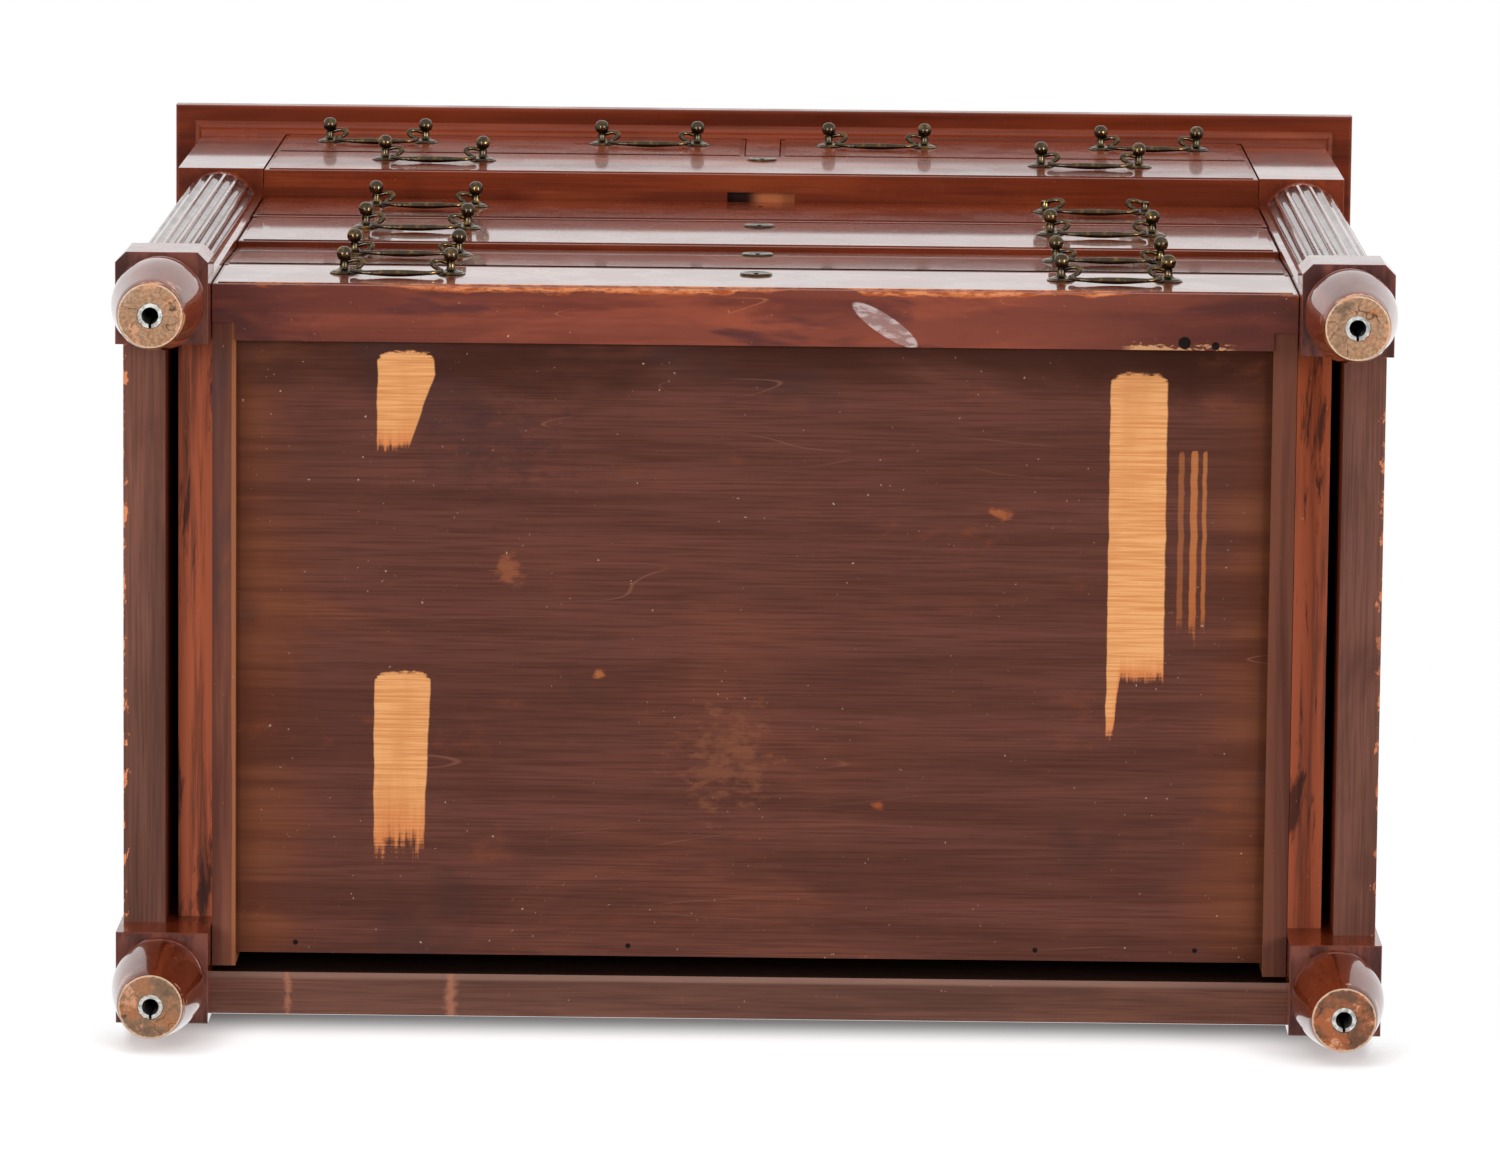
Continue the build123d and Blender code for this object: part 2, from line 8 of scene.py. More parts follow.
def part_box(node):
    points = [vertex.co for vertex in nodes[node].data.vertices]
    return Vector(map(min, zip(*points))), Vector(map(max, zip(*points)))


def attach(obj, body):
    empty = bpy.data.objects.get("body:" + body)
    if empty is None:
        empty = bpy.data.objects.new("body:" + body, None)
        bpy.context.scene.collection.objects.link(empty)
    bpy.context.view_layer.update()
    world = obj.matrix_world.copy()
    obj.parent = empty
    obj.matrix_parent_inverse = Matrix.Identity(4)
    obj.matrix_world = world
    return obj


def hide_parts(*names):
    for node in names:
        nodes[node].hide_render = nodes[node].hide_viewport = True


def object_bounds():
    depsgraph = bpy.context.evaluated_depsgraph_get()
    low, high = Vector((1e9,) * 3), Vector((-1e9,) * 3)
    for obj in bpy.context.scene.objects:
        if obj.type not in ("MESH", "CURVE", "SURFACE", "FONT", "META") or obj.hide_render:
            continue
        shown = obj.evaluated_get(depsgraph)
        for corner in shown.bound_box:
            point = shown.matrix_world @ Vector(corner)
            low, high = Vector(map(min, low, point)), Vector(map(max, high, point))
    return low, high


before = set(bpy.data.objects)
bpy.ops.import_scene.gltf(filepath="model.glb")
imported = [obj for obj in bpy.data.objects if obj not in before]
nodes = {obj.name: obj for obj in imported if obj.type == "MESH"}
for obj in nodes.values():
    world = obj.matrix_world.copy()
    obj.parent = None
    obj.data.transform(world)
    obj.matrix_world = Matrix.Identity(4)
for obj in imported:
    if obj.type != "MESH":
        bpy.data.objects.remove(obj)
cad_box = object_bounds()
bpy.context.scene.view_settings.view_transform = "Standard"

# Sizes in millimetres that both the looks and the pieces use. Materials work in metres.

REAR = cad_box[1].y * 1000
FRONT = REAR - 561
POST_HALF = 33.3
POST_X = 424.2
FOOT_TOP, BLOCK_TOP, COLUMN_TOP, POST_TOP = 108, 169, 722, 1033
BOTTOM_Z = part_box("drawer_1_bottom")[0].z

# Node helpers


class Tree:
    """A material's node tree, with short calls for the nodes that the woods and metals use."""

    def __init__(self, name):
        self.material = bpy.data.materials.new(name)
        self.material.use_nodes = True
        self.tree = self.material.node_tree
        self.tree.nodes.clear()
        self.out = self.add("ShaderNodeOutputMaterial")
        coords = self.add("ShaderNodeTexCoord")
        self.place = coords.outputs["Object"]
        split = self.add("ShaderNodeSeparateXYZ")
        self.link(self.place, split.inputs[0])
        self.x, self.y, self.z = split.outputs

    def add(self, kind, **settings):
        node = self.tree.nodes.new(kind)
        for key, value in settings.items():
            setattr(node, key, value)
        return node

    def link(self, a, b):
        self.tree.links.new(a, b)

    def feed(self, socket, value):
        if isinstance(value, bpy.types.NodeSocket):
            self.link(value, socket)
        elif isinstance(value, (tuple, list)) and len(value) == 3 and socket.type == "RGBA":
            socket.default_value = (*value, 1)
        else:
            socket.default_value = value

    def math(self, operation, a, b=0.0):
        node = self.add("ShaderNodeMath", operation=operation)
        self.feed(node.inputs[0], a)
        self.feed(node.inputs[1], b)
        return node.outputs[0]

    def times(self, a, b):
        return self.math("MULTIPLY", a, b)

    def plus(self, a, b):
        return self.math("ADD", a, b)

    def minus(self, a, b):
        return self.math("SUBTRACT", a, b)

    def spread(self, noise, wide):
        """A noise moved to lie about 0, and scaled to a width."""
        return self.times(self.minus(noise, 0.5), wide)

    def distance(self, point, upright=False):
        """How far the place is from a point, or from the upright line through it."""
        place = self.place
        if upright:
            flat = self.add("ShaderNodeVectorMath", operation="MULTIPLY")
            self.link(place, flat.inputs[0])
            flat.inputs[1].default_value = (1, 1, 0)
            place = flat.outputs[0]
        node = self.add("ShaderNodeVectorMath", operation="DISTANCE")
        self.link(place, node.inputs[0])
        node.inputs[1].default_value = point
        return node.outputs["Value"]

    def scaled(self, factors, shift=(0, 0, 0)):
        """The place multiplied by factors, for grain that is longer one way."""
        node = self.add("ShaderNodeMapping")
        self.feed(node.inputs["Vector"], self.place)
        node.inputs["Scale"].default_value = factors
        node.inputs["Location"].default_value = shift
        return node.outputs[0]

    def noise(self, vector, scale, detail=4.0, rough=0.55, distortion=0.0):
        node = self.add("ShaderNodeTexNoise")
        self.feed(node.inputs["Vector"], vector)
        node.inputs["Scale"].default_value = scale
        node.inputs["Detail"].default_value = detail
        node.inputs["Roughness"].default_value = rough
        node.inputs["Distortion"].default_value = distortion
        return node.outputs["Fac"]

    def band(self, value, low, high, to_low=0.0, to_high=1.0):
        """The value taken from one range to another, smoothly and held at its ends."""
        node = self.add("ShaderNodeMapRange", interpolation_type="SMOOTHSTEP")
        self.feed(node.inputs["Value"], value)
        node.inputs["From Min"].default_value = low
        node.inputs["From Max"].default_value = high
        node.inputs["To Min"].default_value = to_low
        node.inputs["To Max"].default_value = to_high
        return node.outputs["Result"]

    def mix(self, share, a, b):
        node = self.add("ShaderNodeMix", data_type="RGBA")
        self.feed(node.inputs[0], share)
        self.feed(node.inputs[6], a)
        self.feed(node.inputs[7], b)
        return node.outputs[2]

    def bump(self, height, strength, distance):
        node = self.add("ShaderNodeBump")
        self.feed(node.inputs["Height"], height)
        node.inputs["Strength"].default_value = strength
        node.inputs["Distance"].default_value = distance
        return node.outputs["Normal"]

    def surface(self, color, rough, normal, **constants):
        """A Principled surface. Constants go on its own sockets."""
        shader = self.add("ShaderNodeBsdfPrincipled")
        self.feed(shader.inputs["Base Color"], color)
        self.feed(shader.inputs["Roughness"], rough)
        self.link(normal, shader.inputs["Normal"])
        for key, value in constants.items():
            shader.inputs[key].default_value = value
        self.link(shader.outputs[0], self.out.inputs["Surface"])
        return shader


def srgb(r, g, b):
    """A colour given as 0 to 255 on screen, as linear numbers."""
    return tuple(((c / 255 + 0.055) / 1.055) ** 2.4 if c > 10 else c / 255 / 12.92 for c in (r, g, b))


def dress(node, material):
    """Gives a CAD piece one material."""
    mesh = nodes[node].data
    mesh.materials.clear()
    mesh.materials.append(material)


# Woods


def along(axis, slow, fast):
    """Scales for a pattern that runs slowly along the grain's axis and fast across it."""
    return tuple(slow if letter == axis else fast for letter in "xyz")


def wood_tree(name, axis, dark, middle, light, seed=0.0, blotch=0.6, lines=0.4):
    """A board's tree with its colour: streaks and fine lines along one axis, and slow blotches.

    Later patterns use its streaks, lines, slow blotches, smudge and shift, and down, which is 1 on undersides.
    """
    t = Tree(name)
    t.shift = (seed * 1.7, seed * 2.3, seed * 0.9)
    t.streaks = t.noise(t.scaled(along(axis, 1.6, 34), t.shift), 1.0, 4.0, 0.6, 0.4)
    t.lines = t.noise(t.scaled(along(axis, 14, 620), t.shift), 1.0, 3.0, 0.6)
    t.slow = t.noise(t.scaled(along(axis, 4, 9), t.shift), 1.0, 4.0, 0.62, 0.6)
    t.smudge = t.noise(t.scaled((17, 17, 17), t.shift), 1.0, 4.0, 0.6)
    color = t.mix(t.band(t.streaks, 0.36, 0.62), dark, middle)
    color = t.mix(t.band(t.slow, 0.5, 0.7, 0.0, blotch), color, light)
    color = t.mix(t.band(t.slow, 0.3, 0.46, blotch, 0.0), color, dark)
    t.color = t.mix(t.band(t.lines, 0.42, 0.66, 0.0, lines), color, tuple(c * 0.55 for c in dark))
    facing = t.add("ShaderNodeNewGeometry")
    split = t.add("ShaderNodeSeparateXYZ")
    t.link(facing.outputs["Normal"], split.inputs[0])
    t.down = t.band(t.times(split.outputs[2], -1.0), 0.6, 0.9)
    return t


def specks(t, color, tint, share=0.9, scale=300.0, rare=0.735):
    """Small pale nicks and specks of dust."""
    dots = t.noise(t.place, scale, 2.0, 0.5)
    area = t.noise(t.place, 30.0, 2.0, 0.5)
    both = t.times(t.band(dots, rare, rare + 0.03), t.band(area, 0.45, 0.6))
    return t.mix(t.times(both, share), color, tint)


def scratches(t, color, tint, turn, share, seed=0.0):
    """A few long fine scratches that run at one angle in the XY plane."""
    node = t.add("ShaderNodeMapping")
    t.feed(node.inputs["Vector"], t.place)
    node.inputs["Rotation"].default_value = (0, 0, turn)
    node.inputs["Location"].default_value = (seed, seed * 0.7, 0)
    node.inputs["Scale"].default_value = (3.0, 22.0, 1.0)
    field = t.noise(node.outputs[0], 1.0, 1.5, 0.4, 0.3)
    line = t.minus(1.0, t.band(t.math("ABSOLUTE", t.minus(field, 0.62)), 0.0, 0.003))
    where = t.band(t.noise(t.place, 9.0, 1.0, 0.5), 0.5, 0.62)
    return t.mix(t.times(t.times(line, where), share), color, tint)


def finish_wood(t, color, rough, spec, coat=0.0, bump=0.25, shine=1.0, gloss=1.32):
    """The surface of a board. Undersides are duller, and shine is the share of polish that is left elsewhere."""
    height = t.plus(t.times(t.lines, 0.7), t.streaks)
    normal = t.bump(height, bump, 0.0004)
    shader = t.surface(color, t.band(t.smudge, 0.38, 0.62, *rough), normal)
    shader.inputs["Specular IOR Level"].default_value = spec
    if coat:
        worn = t.times(t.minus(1.0, t.times(t.down, 0.9)), shine)
        t.feed(shader.inputs["Coat Weight"], t.times(worn, coat))
    shader.inputs["Coat Roughness"].default_value = 0.05
    shader.inputs["Coat IOR"].default_value = gloss
    return t.material


# Dark, middle and light tones of each wood
MAHOGANY = (srgb(92, 34, 16), srgb(122, 50, 24), srgb(142, 66, 34))
STAINED = (srgb(86, 50, 41), srgb(101, 60, 50), srgb(118, 68, 51))
RAIL = (srgb(88, 58, 49), srgb(122, 80, 68), srgb(138, 86, 68))
LINING = (srgb(112, 66, 40), srgb(152, 98, 62), srgb(170, 116, 76))
RAW = (srgb(203, 134, 80), srgb(226, 164, 108))


def polished(name, axis, seed=0.0, bright=1.0, dim=None, gloss=1.32, under=None):
    """French polish. It dulls from one height to another where dim gives them and the share that is left.

    under gives two tones for the undersides. On the second front they are painted shade.
    """
    t = wood_tree(name, axis, *MAHOGANY, seed=seed, blotch=0.5, lines=0.35)
    color = specks(t, t.color, srgb(196, 140, 108), 0.5, 420.0, 0.75)
    if under:
        color = t.mix(t.down, color, t.mix(t.band(t.streaks, 0.4, 0.6), *under))
    shine = t.band(t.z, dim[0], dim[1], bright, dim[2]) if dim else bright
    return finish_wood(t, color, (0.2, 0.34), 0.08, 1.0, 0.025, shine, gloss)


def raw_patch(t, color, low_x, high_x, low_y, high_y, fade, share=1.0, slant=0.0, tip=0.0, pale=1.0):
    """Bare wood in a strip: a clean left side, a right side that may slant, and an end torn along the strip.

    fade is the length of the torn end, and tip how far its left corner runs on.
    """
    x = t.plus(t.x, t.spread(t.noise(t.scaled((2, 45, 2), t.shift), 1.0, 4.0), 0.003))
    drift = t.times(t.math("MAXIMUM", t.minus(t.y, low_y + 0.018), 0.0), slant)
    right = t.band(t.plus(x, drift), high_x - 0.0014, high_x, 1.0, 0.0)
    sides = t.times(t.band(x, low_x, low_x + 0.001), right)
    half = (high_x - low_x) / 2
    across = t.math("ABSOLUTE", t.math("DIVIDE", t.minus(t.x, low_x + half), half))
    top = t.minus(t.y, t.times(t.math("POWER", across, 5.0), 0.007))
    fray = t.spread(t.noise(t.scaled((120, 400, 1), t.shift), 1.0, 4.0, 0.7), 0.012)
    start = t.band(t.plus(top, fray), low_y, low_y + 0.0025)
    torn = t.spread(t.noise(t.scaled((240, 22, 1), t.shift), 1.0, 4.0, 0.65), fade * 1.6)
    lines = t.spread(t.noise(t.scaled((30, 620, 1), t.shift), 1.0, 2.0), fade * 0.7)
    point = t.band(t.x, low_x + 0.004, low_x + 0.011, tip, 0.0)
    left = t.plus(t.minus(high_y, t.y), t.plus(t.plus(torn, lines), point))
    stop = t.band(left, 0.0, fade * 0.45)
    mask = t.times(t.times(sides, start), t.times(stop, share))
    bare = t.mix(t.band(t.lines, 0.36, 0.66), RAW[1], RAW[0])
    bare = t.mix(t.band(t.noise(t.scaled((26, 9, 1), t.shift), 1.0, 3.0), 0.45, 0.66, 0.0, 0.5), bare, RAW[0])
    bare = t.mix(t.band(left, 0.0, fade * 1.6, 0.7, 0.0), bare, srgb(196, 108, 60))
    bare = t.mix(pale, srgb(176, 98, 52), bare)
    return t.mix(t.times(mask, t.down), color, bare)


# Places on the underside in metres. Each spot has its x, y, radius and tint.
PANEL_SPOTS = (
    (-0.110, 0.039, 0.0040, (196, 116, 66)), (-0.176, -0.038, 0.0110, (158, 92, 60)),
    (-0.017, 0.100, 0.0340, (132, 82, 58)), (0.093, 0.132, 0.0040, (176, 92, 50)),
    (-0.180, -0.130, 0.0420, (66, 42, 42)), (0.178, -0.082, 0.0060, (186, 104, 58)),
)
# Low and high x, low and high y, fade, share, slant and tip of each bare patch
PANEL_PATCHES = (
    (-0.2722, -0.2300, -0.1965, -0.1240, 0.014, 1.0, 0.34, 0.0),
    (-0.2736, -0.2320, 0.0370, 0.1720, 0.04, 1.0, 0.04, 0.006),
    (0.2563, 0.2985, -0.1860, 0.0400, 0.014, 1.0, 0.0, 0.042),
)
# Low x, width and share of each narrow streak beside the long patch
PANEL_STRIPES = ((0.3062, 0.0052, 0.4), (0.3150, 0.0062, 0.75), (0.3236, 0.0042, 0.65))
PANEL_NAILS = ((-0.330, 0.238), (-0.088, 0.238), (0.208, 0.238), (0.324, 0.237))
# The screw holes by the broken back edge of the lowest front, with their radii
FRONT_HOLES = ((0.3089, -0.2085, 0.0042), (0.3312, -0.2065, 0.0026))


def bottom_panel():
    """The lowest drawer's bottom: stained board with bare strips, dark by the front, amber by the sides, and with
    painted shadow at its side edges.
    """
    t = wood_tree("stained_bottom_board", "x", *STAINED, seed=2.0, blotch=0.55, lines=0.5)
    across = t.math("ABSOLUTE", t.x)
    wavy = t.spread(t.slow, 0.12)
    amber = t.band(t.plus(across, wavy), 0.3, 0.375, 0.0, 0.6)
    color = t.mix(amber, t.color, t.mix(t.band(t.streaks, 0.4, 0.6), srgb(88, 46, 27), srgb(120, 68, 41)))
    color = t.mix(t.band(t.plus(t.y, wavy), -0.205, -0.165, 0.8, 0.0), color, srgb(54, 28, 19))
    # Painted shadow along the side edges, where the panel meets the drawer's sides.
    color = t.mix(t.band(t.plus(across, t.times(wavy, 0.1)), 0.352, 0.374, 0.0, 0.5), color, srgb(70, 34, 18))
    burn = t.noise(t.scaled((7, 9, 1), (3.1, 1.2, 0)), 1.0, 3.0, 0.6)
    color = t.mix(t.band(burn, 0.58, 0.68, 0.0, 0.4), color, srgb(62, 42, 42))
    glow = t.noise(t.scaled((9, 16, 1), (7.3, 4.2, 0)), 1.0, 5.0, 0.7)
    color = t.mix(t.band(glow, 0.6, 0.76, 0.0, 0.3), color, srgb(146, 78, 48))
    ragged = t.noise(t.scaled((60, 130, 1), (1.3, 0.2, 0)), 1.0, 4.0, 0.65)
    for x, y, wide, tint in PANEL_SPOTS:
        near = t.plus(t.distance((x, y, BOTTOM_Z)), t.spread(ragged, wide * 5))
        color = t.mix(t.band(near, 0.0, wide * 1.1, 0.5, 0.0), color, srgb(*tint))
    for patch in PANEL_PATCHES:
        color = raw_patch(t, color, *patch)
    for low, wide, share in PANEL_STRIPES:
        color = raw_patch(t, color, low, low + wide, -0.13, 0.012, 0.05, share, pale=0.25)
    color = scratches(t, color, srgb(176, 120, 96), 1.1, 0.22)
    color = specks(t, color, srgb(214, 190, 172), 0.5)
    nail = 0.0
    for x, y in PANEL_NAILS:
        nail = t.math("MAXIMUM", t.band(t.distance((x, y, BOTTOM_Z)), 0.0014, 0.0024, 1.0, 0.0), nail)
    color = t.mix(nail, color, srgb(24, 18, 16))
    top = t.mix(t.band(t.lines, 0.4, 0.65), LINING[1], LINING[0])
    color = t.mix(t.down, top, color)
    return finish_wood(t, color, (0.55, 0.75), 0.05)


def oval_scuff(t, x, y, grit):
    """The share of a pale oval scuff about a point: full round its rim, and gritty inside."""
    half_width, half_length, cosine, sine = 0.0075, 0.029, 0.84, 0.55
    off_x, off_y = t.minus(t.x, x), t.minus(t.y, y)
    across = t.math("DIVIDE", t.plus(t.times(off_x, sine), t.times(off_y, -cosine)), half_width)
    length = t.math("DIVIDE", t.plus(t.times(off_x, cosine), t.times(off_y, sine)), half_length)
    out = t.math("SQRT", t.plus(t.math("POWER", across, 2.0), t.math("POWER", length, 2.0)))
    inside = t.plus(0.3, t.band(t.plus(out, t.band(grit, 0.4, 0.6)), 1.0, 1.7, 0.0, 0.5))
    return t.times(t.band(out, 0.9, 1.0, 1.0, 0.0), inside)


def first_front():
    """The lowest drawer's front: polished face, and a stained underside worn to bare wood at its front edge."""
    t = wood_tree("lowest_drawer_front", "x", *MAHOGANY, seed=1.0, blotch=0.7, lines=0.3)
    low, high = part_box("drawer_1_front")
    under = t.mix(t.band(t.streaks, 0.38, 0.6), srgb(98, 47, 38), srgb(122, 62, 48))
    ruddy = t.noise(t.scaled((5, 30, 1)), 1.0, 4.0, 0.65, 0.4)
    under = t.mix(t.band(ruddy, 0.44, 0.66, 0.0, 0.55), under, srgb(160, 80, 56))
    inky = t.noise(t.scaled((7, 26, 1), (5, 3, 0)), 1.0, 4.0, 0.65, 0.4)
    under = t.mix(t.band(inky, 0.52, 0.66, 0.0, 0.85), under, srgb(78, 42, 42))
    under = t.mix(t.band(t.x, 0.1, 0.33, 0.0, 0.45), under, srgb(102, 55, 47))
    under = t.mix(t.band(t.x, -0.36, -0.3, 0.5, 0.0), under, srgb(80, 44, 42))
    chips = t.noise(t.scaled((70, 200, 1)), 1.0, 4.0, 0.7)
    reach = t.times(t.band(t.noise(t.scaled((9, 1, 1), (2, 0, 0)), 1.0, 2.0), 0.36, 0.64), 0.0055)
    reach = t.plus(reach, t.spread(chips, 0.011))
    worn = t.band(t.minus(reach, t.minus(t.y, low.y)), -0.0008, 0.0012)
    bare = t.mix(t.band(chips, 0.4, 0.6), srgb(222, 138, 88), srgb(160, 76, 40))
    under = t.mix(t.times(worn, 0.92), under, bare)
    under = t.mix(oval_scuff(t, 0.0935, low.y + 0.026, chips), under, srgb(196, 176, 174))
    depth = t.times(t.minus(chips, 0.42), 0.034)
    broken = t.band(t.minus(depth, t.minus(high.y, t.y)), 0.0, 0.0008)
    broken = t.times(broken, t.times(t.band(t.x, 0.262, 0.275), t.band(t.x, 0.335, 0.348, 1.0, 0.0)))
    under = t.mix(t.times(broken, 0.9), under, srgb(214, 158, 112))
    for x, y, radius in FRONT_HOLES:
        hole = t.band(t.distance((x, y, low.z)), radius, radius + 0.0006, 1.0, 0.0)
        under = t.mix(hole, under, srgb(22, 12, 10))
    under = scratches(t, under, srgb(190, 120, 84), 0.9, 0.4, seed=1.2)
    under = specks(t, under, srgb(210, 168, 140), 0.8)
    color = t.mix(t.down, t.color, under)
    return finish_wood(t, color, (0.24, 0.38), 0.08, 1.0, 0.04)


def box_wood():
    """Drawer linings: oiled boards, dark on the edges that show from below, with a tan strip inside the left one."""
    t = wood_tree("drawer_lining", "y", *LINING, seed=2.0, blotch=0.4)
    dark = t.mix(t.band(t.streaks, 0.38, 0.62), srgb(84, 48, 40), srgb(122, 74, 58))
    dark = t.mix(t.band(t.slow, 0.55, 0.7, 0.0, 0.6), dark, srgb(70, 52, 52))
    dark = t.mix(t.band(t.x, 0.0, 0.1, 0.0, 0.3), dark, srgb(56, 30, 22))
    inner = t.band(t.plus(t.x, t.spread(t.slow, 0.003)), -0.3764, -0.3758, 0.0, 0.7)
    inner = t.times(inner, t.band(t.x, -0.1, 0.0, 1.0, 0.0))
    dark = t.mix(inner, dark, srgb(160, 98, 62))
    dark = specks(t, dark, srgb(200, 160, 132), 0.6)
    return finish_wood(t, t.mix(t.down, t.color, dark), (0.5, 0.7), 0.05)


def runner_material():
    """Drawer runners: worn red, with dark streaks of old grease."""
    t = wood_tree("worn_runner", "y", *RAIL, seed=3.0, blotch=0.5)
    streak = t.noise(t.scaled((150, 5, 1), (1.5, 0.4, 0)), 1.0, 5.0, 0.65)
    color = t.mix(t.band(streak, 0.34, 0.56, 0.2, 0.95), t.color, srgb(198, 106, 74))
    front = t.times(t.band(t.y, -0.19, -0.02, 0.8, 0.0), t.band(t.x, 0.0, 0.1))
    color = t.mix(t.times(front, t.band(t.streaks, 0.34, 0.56)), color, srgb(190, 96, 58))
    ink = t.noise(t.scaled((60, 8, 1), (4.5, 2.4, 0)), 1.0, 5.0, 0.7, 0.4)
    color = t.mix(t.band(ink, 0.54, 0.64, 0.0, 0.85), color, srgb(66, 44, 42))
    color = specks(t, color, srgb(216, 150, 110), 0.8)
    return finish_wood(t, color, (0.45, 0.65), 0.05)


def rail_material():
    """Side rails: brown stain, chipped to bare wood along the outer lower edge."""
    t = wood_tree("side_rail_stain", "y", *RAIL, seed=5.0, blotch=0.55)
    low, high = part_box("right_side_rails")
    chips = t.noise(t.scaled((150, 60, 150)), 1.0, 4.0, 0.7)
    gap = t.minus(high.x, t.math("ABSOLUTE", t.x))
    worn = t.band(t.minus(t.times(t.minus(chips, 0.52), 0.03), gap), -0.0006, 0.0006)
    edge = t.times(worn, t.band(t.z, low.z + 0.001, low.z + 0.003, 1.0, 0.0))
    color = t.mix(edge, t.color, srgb(216, 132, 92))
    shade = t.band(t.slow, 0.56, 0.7, 0.0, 0.6)
    color = t.mix(t.times(shade, t.down), color, srgb(74, 48, 44))
    color = t.mix(t.times(t.down, t.band(t.x, -0.1, 0.1, 0.0, 0.2)), color, srgb(60, 40, 36))
    face = t.mix(t.band(t.streaks, 0.4, 0.6), MAHOGANY[0], MAHOGANY[1])
    color = t.mix(t.times(t.minus(1.0, t.down), 0.8), color, face)
    return finish_wood(t, color, (0.4, 0.6), 0.05)


def back_material(name, axis):
    """Back frame: brown stain, a pale lip and painted shade on the inner face of the low rail, and two pale marks
    under it.
    """
    t = wood_tree(name, axis, *RAIL, seed=7.0, blotch=0.35)
    color = specks(t, t.color, srgb(176, 130, 108), 0.7)
    stain = t.noise(t.scaled((9, 4, 12), (2.2, 0, 0)), 1.0, 3.0, 0.6)
    color = t.mix(t.band(stain, 0.6, 0.8, 0.0, 0.2), color, srgb(146, 100, 84))
    inner_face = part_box("back_rails")[0].y
    lip = t.times(t.down, t.band(t.y, inner_face + 0.003, inner_face + 0.006, 0.55, 0.0))
    color = t.mix(lip, color, srgb(150, 116, 102))
    # Painted shade: the low rail's inner face is made nearly black, where it stands in shadow.
    shadowed = t.band(t.y, inner_face + 0.0002, inner_face + 0.0006, 1.0, 0.0)
    shadowed = t.times(shadowed, t.band(t.z, 0.3, 0.4, 0.85, 0.0))
    color = t.mix(t.times(shadowed, t.minus(1.0, t.down)), color, srgb(16, 10, 8))
    low_down = t.times(t.down, t.band(t.z, 0.3, 0.4, 1.0, 0.0))
    rough_edge = t.spread(t.noise(t.scaled((160, 160, 1)), 1.0, 4.0, 0.7), 0.012)
    for x, wide in ((-0.3355, 0.0035), (-0.2167, 0.006)):
        off = t.plus(t.math("ABSOLUTE", t.minus(t.x, x)), rough_edge)
        color = t.mix(t.times(t.band(off, 0.0, wide, 0.6, 0.0), low_down), color, srgb(176, 116, 90))
    return finish_wood(t, color, (0.5, 0.7), 0.05)


def foot_end(t, nearest):
    """End grain under the feet: gritty and cracked, worn redder at the rear ones, with a pale rim."""
    blot = t.noise(t.scaled((45, 45, 1)), 1.0, 5.0, 0.65)
    grit = t.noise(t.scaled((380, 380, 1)), 1.0, 4.0, 0.7)
    end = t.mix(t.band(grit, 0.34, 0.66), srgb(142, 104, 80), srgb(182, 144, 112))
    end = t.mix(t.band(blot, 0.5, 0.66, 0.0, 0.6), end, srgb(176, 104, 62))
    end = t.mix(t.band(blot, 0.32, 0.46, 0.7, 0.0), end, srgb(96, 80, 66))
    rear = t.band(t.y, 0.0, 0.1)
    mottle = t.band(blot, 0.44, 0.58)
    rear_right = t.times(t.band(t.x, 0.1, 0.2), rear)
    end = t.mix(t.times(rear_right, 0.8), end, t.mix(mottle, srgb(86, 52, 40), srgb(156, 82, 46)))
    rear_left = t.times(t.band(t.x, -0.2, -0.1, 1.0, 0.0), rear)
    end = t.mix(t.times(rear_left, 0.6), end, t.mix(mottle, srgb(92, 72, 58), srgb(150, 96, 64)))
    crack = t.math("ABSOLUTE", t.minus(t.noise(t.scaled((26, 26, 1), (0.6, 0.3, 0)), 1.0, 2.0), 0.5))
    end = t.mix(t.band(crack, 0.0, 0.006, 0.8, 0.0), end, srgb(58, 38, 28))
    rim = t.band(t.plus(nearest, t.spread(grit, 0.003)), 0.0212, 0.0224)
    return t.mix(t.times(rim, 0.7), end, srgb(226, 196, 164))


def post_material():
    """Corner posts: polished, with dull scratched undersides, painted shade in the flutes and worn end grain on the
    feet.
    """
    t = wood_tree("post_mahogany", "z", *MAHOGANY, seed=4.0, blotch=0.6, lines=0.25)
    smear = t.noise(t.scaled((60, 14, 20)), 1.0, 4.0, 0.65)
    dull = t.mix(t.band(smear, 0.4, 0.62), srgb(72, 46, 44), srgb(122, 74, 64))
    dull = specks(t, dull, srgb(190, 150, 136), 0.7)
    color = t.mix(t.times(t.down, t.band(t.z, 0.2, 0.3, 0.9, 0.0)), t.color, dull)
    nearest = 1.0
    for x in (-POST_X, POST_X):
        for y in (FRONT + POST_HALF, REAR - POST_HALF):
            nearest = t.math("MINIMUM", t.distance((x * 0.001, y * 0.001, 0), upright=True), nearest)
    sole = t.times(t.down, t.band(t.z, 0.0012, 0.002, 1.0, 0.0))
    color = t.mix(sole, color, foot_end(t, nearest))
    nick = t.noise(t.scaled((40, 40, 90), (1, 2, 3)), 1.0, 4.0, 0.7)
    tip = t.times(t.band(nick, 0.56, 0.62), t.band(t.z, 0.003, 0.03, 0.85, 0.0))
    color = t.mix(tip, color, srgb(206, 150, 116))
    color = specks(t, color, srgb(206, 170, 148), 0.6, 380.0, 0.74)
    # Painted shade: the hollows of the flutes are darkened, and their polish is dulled.
    flute_shade = t.times(t.band(t.z, 0.175, 0.19), t.band(t.z, 0.70, 0.715, 1.0, 0.0))
    flute_shade = t.times(flute_shade, t.band(nearest, 0.0300, 0.0310, 1.0, 0.0))
    color = t.mix(t.times(flute_shade, 0.7), color, srgb(48, 20, 12))
    shine = t.minus(1.0, t.times(flute_shade, 0.22))
    return finish_wood(t, color, (0.22, 0.36), 0.1, 0.95, 0.008, shine)


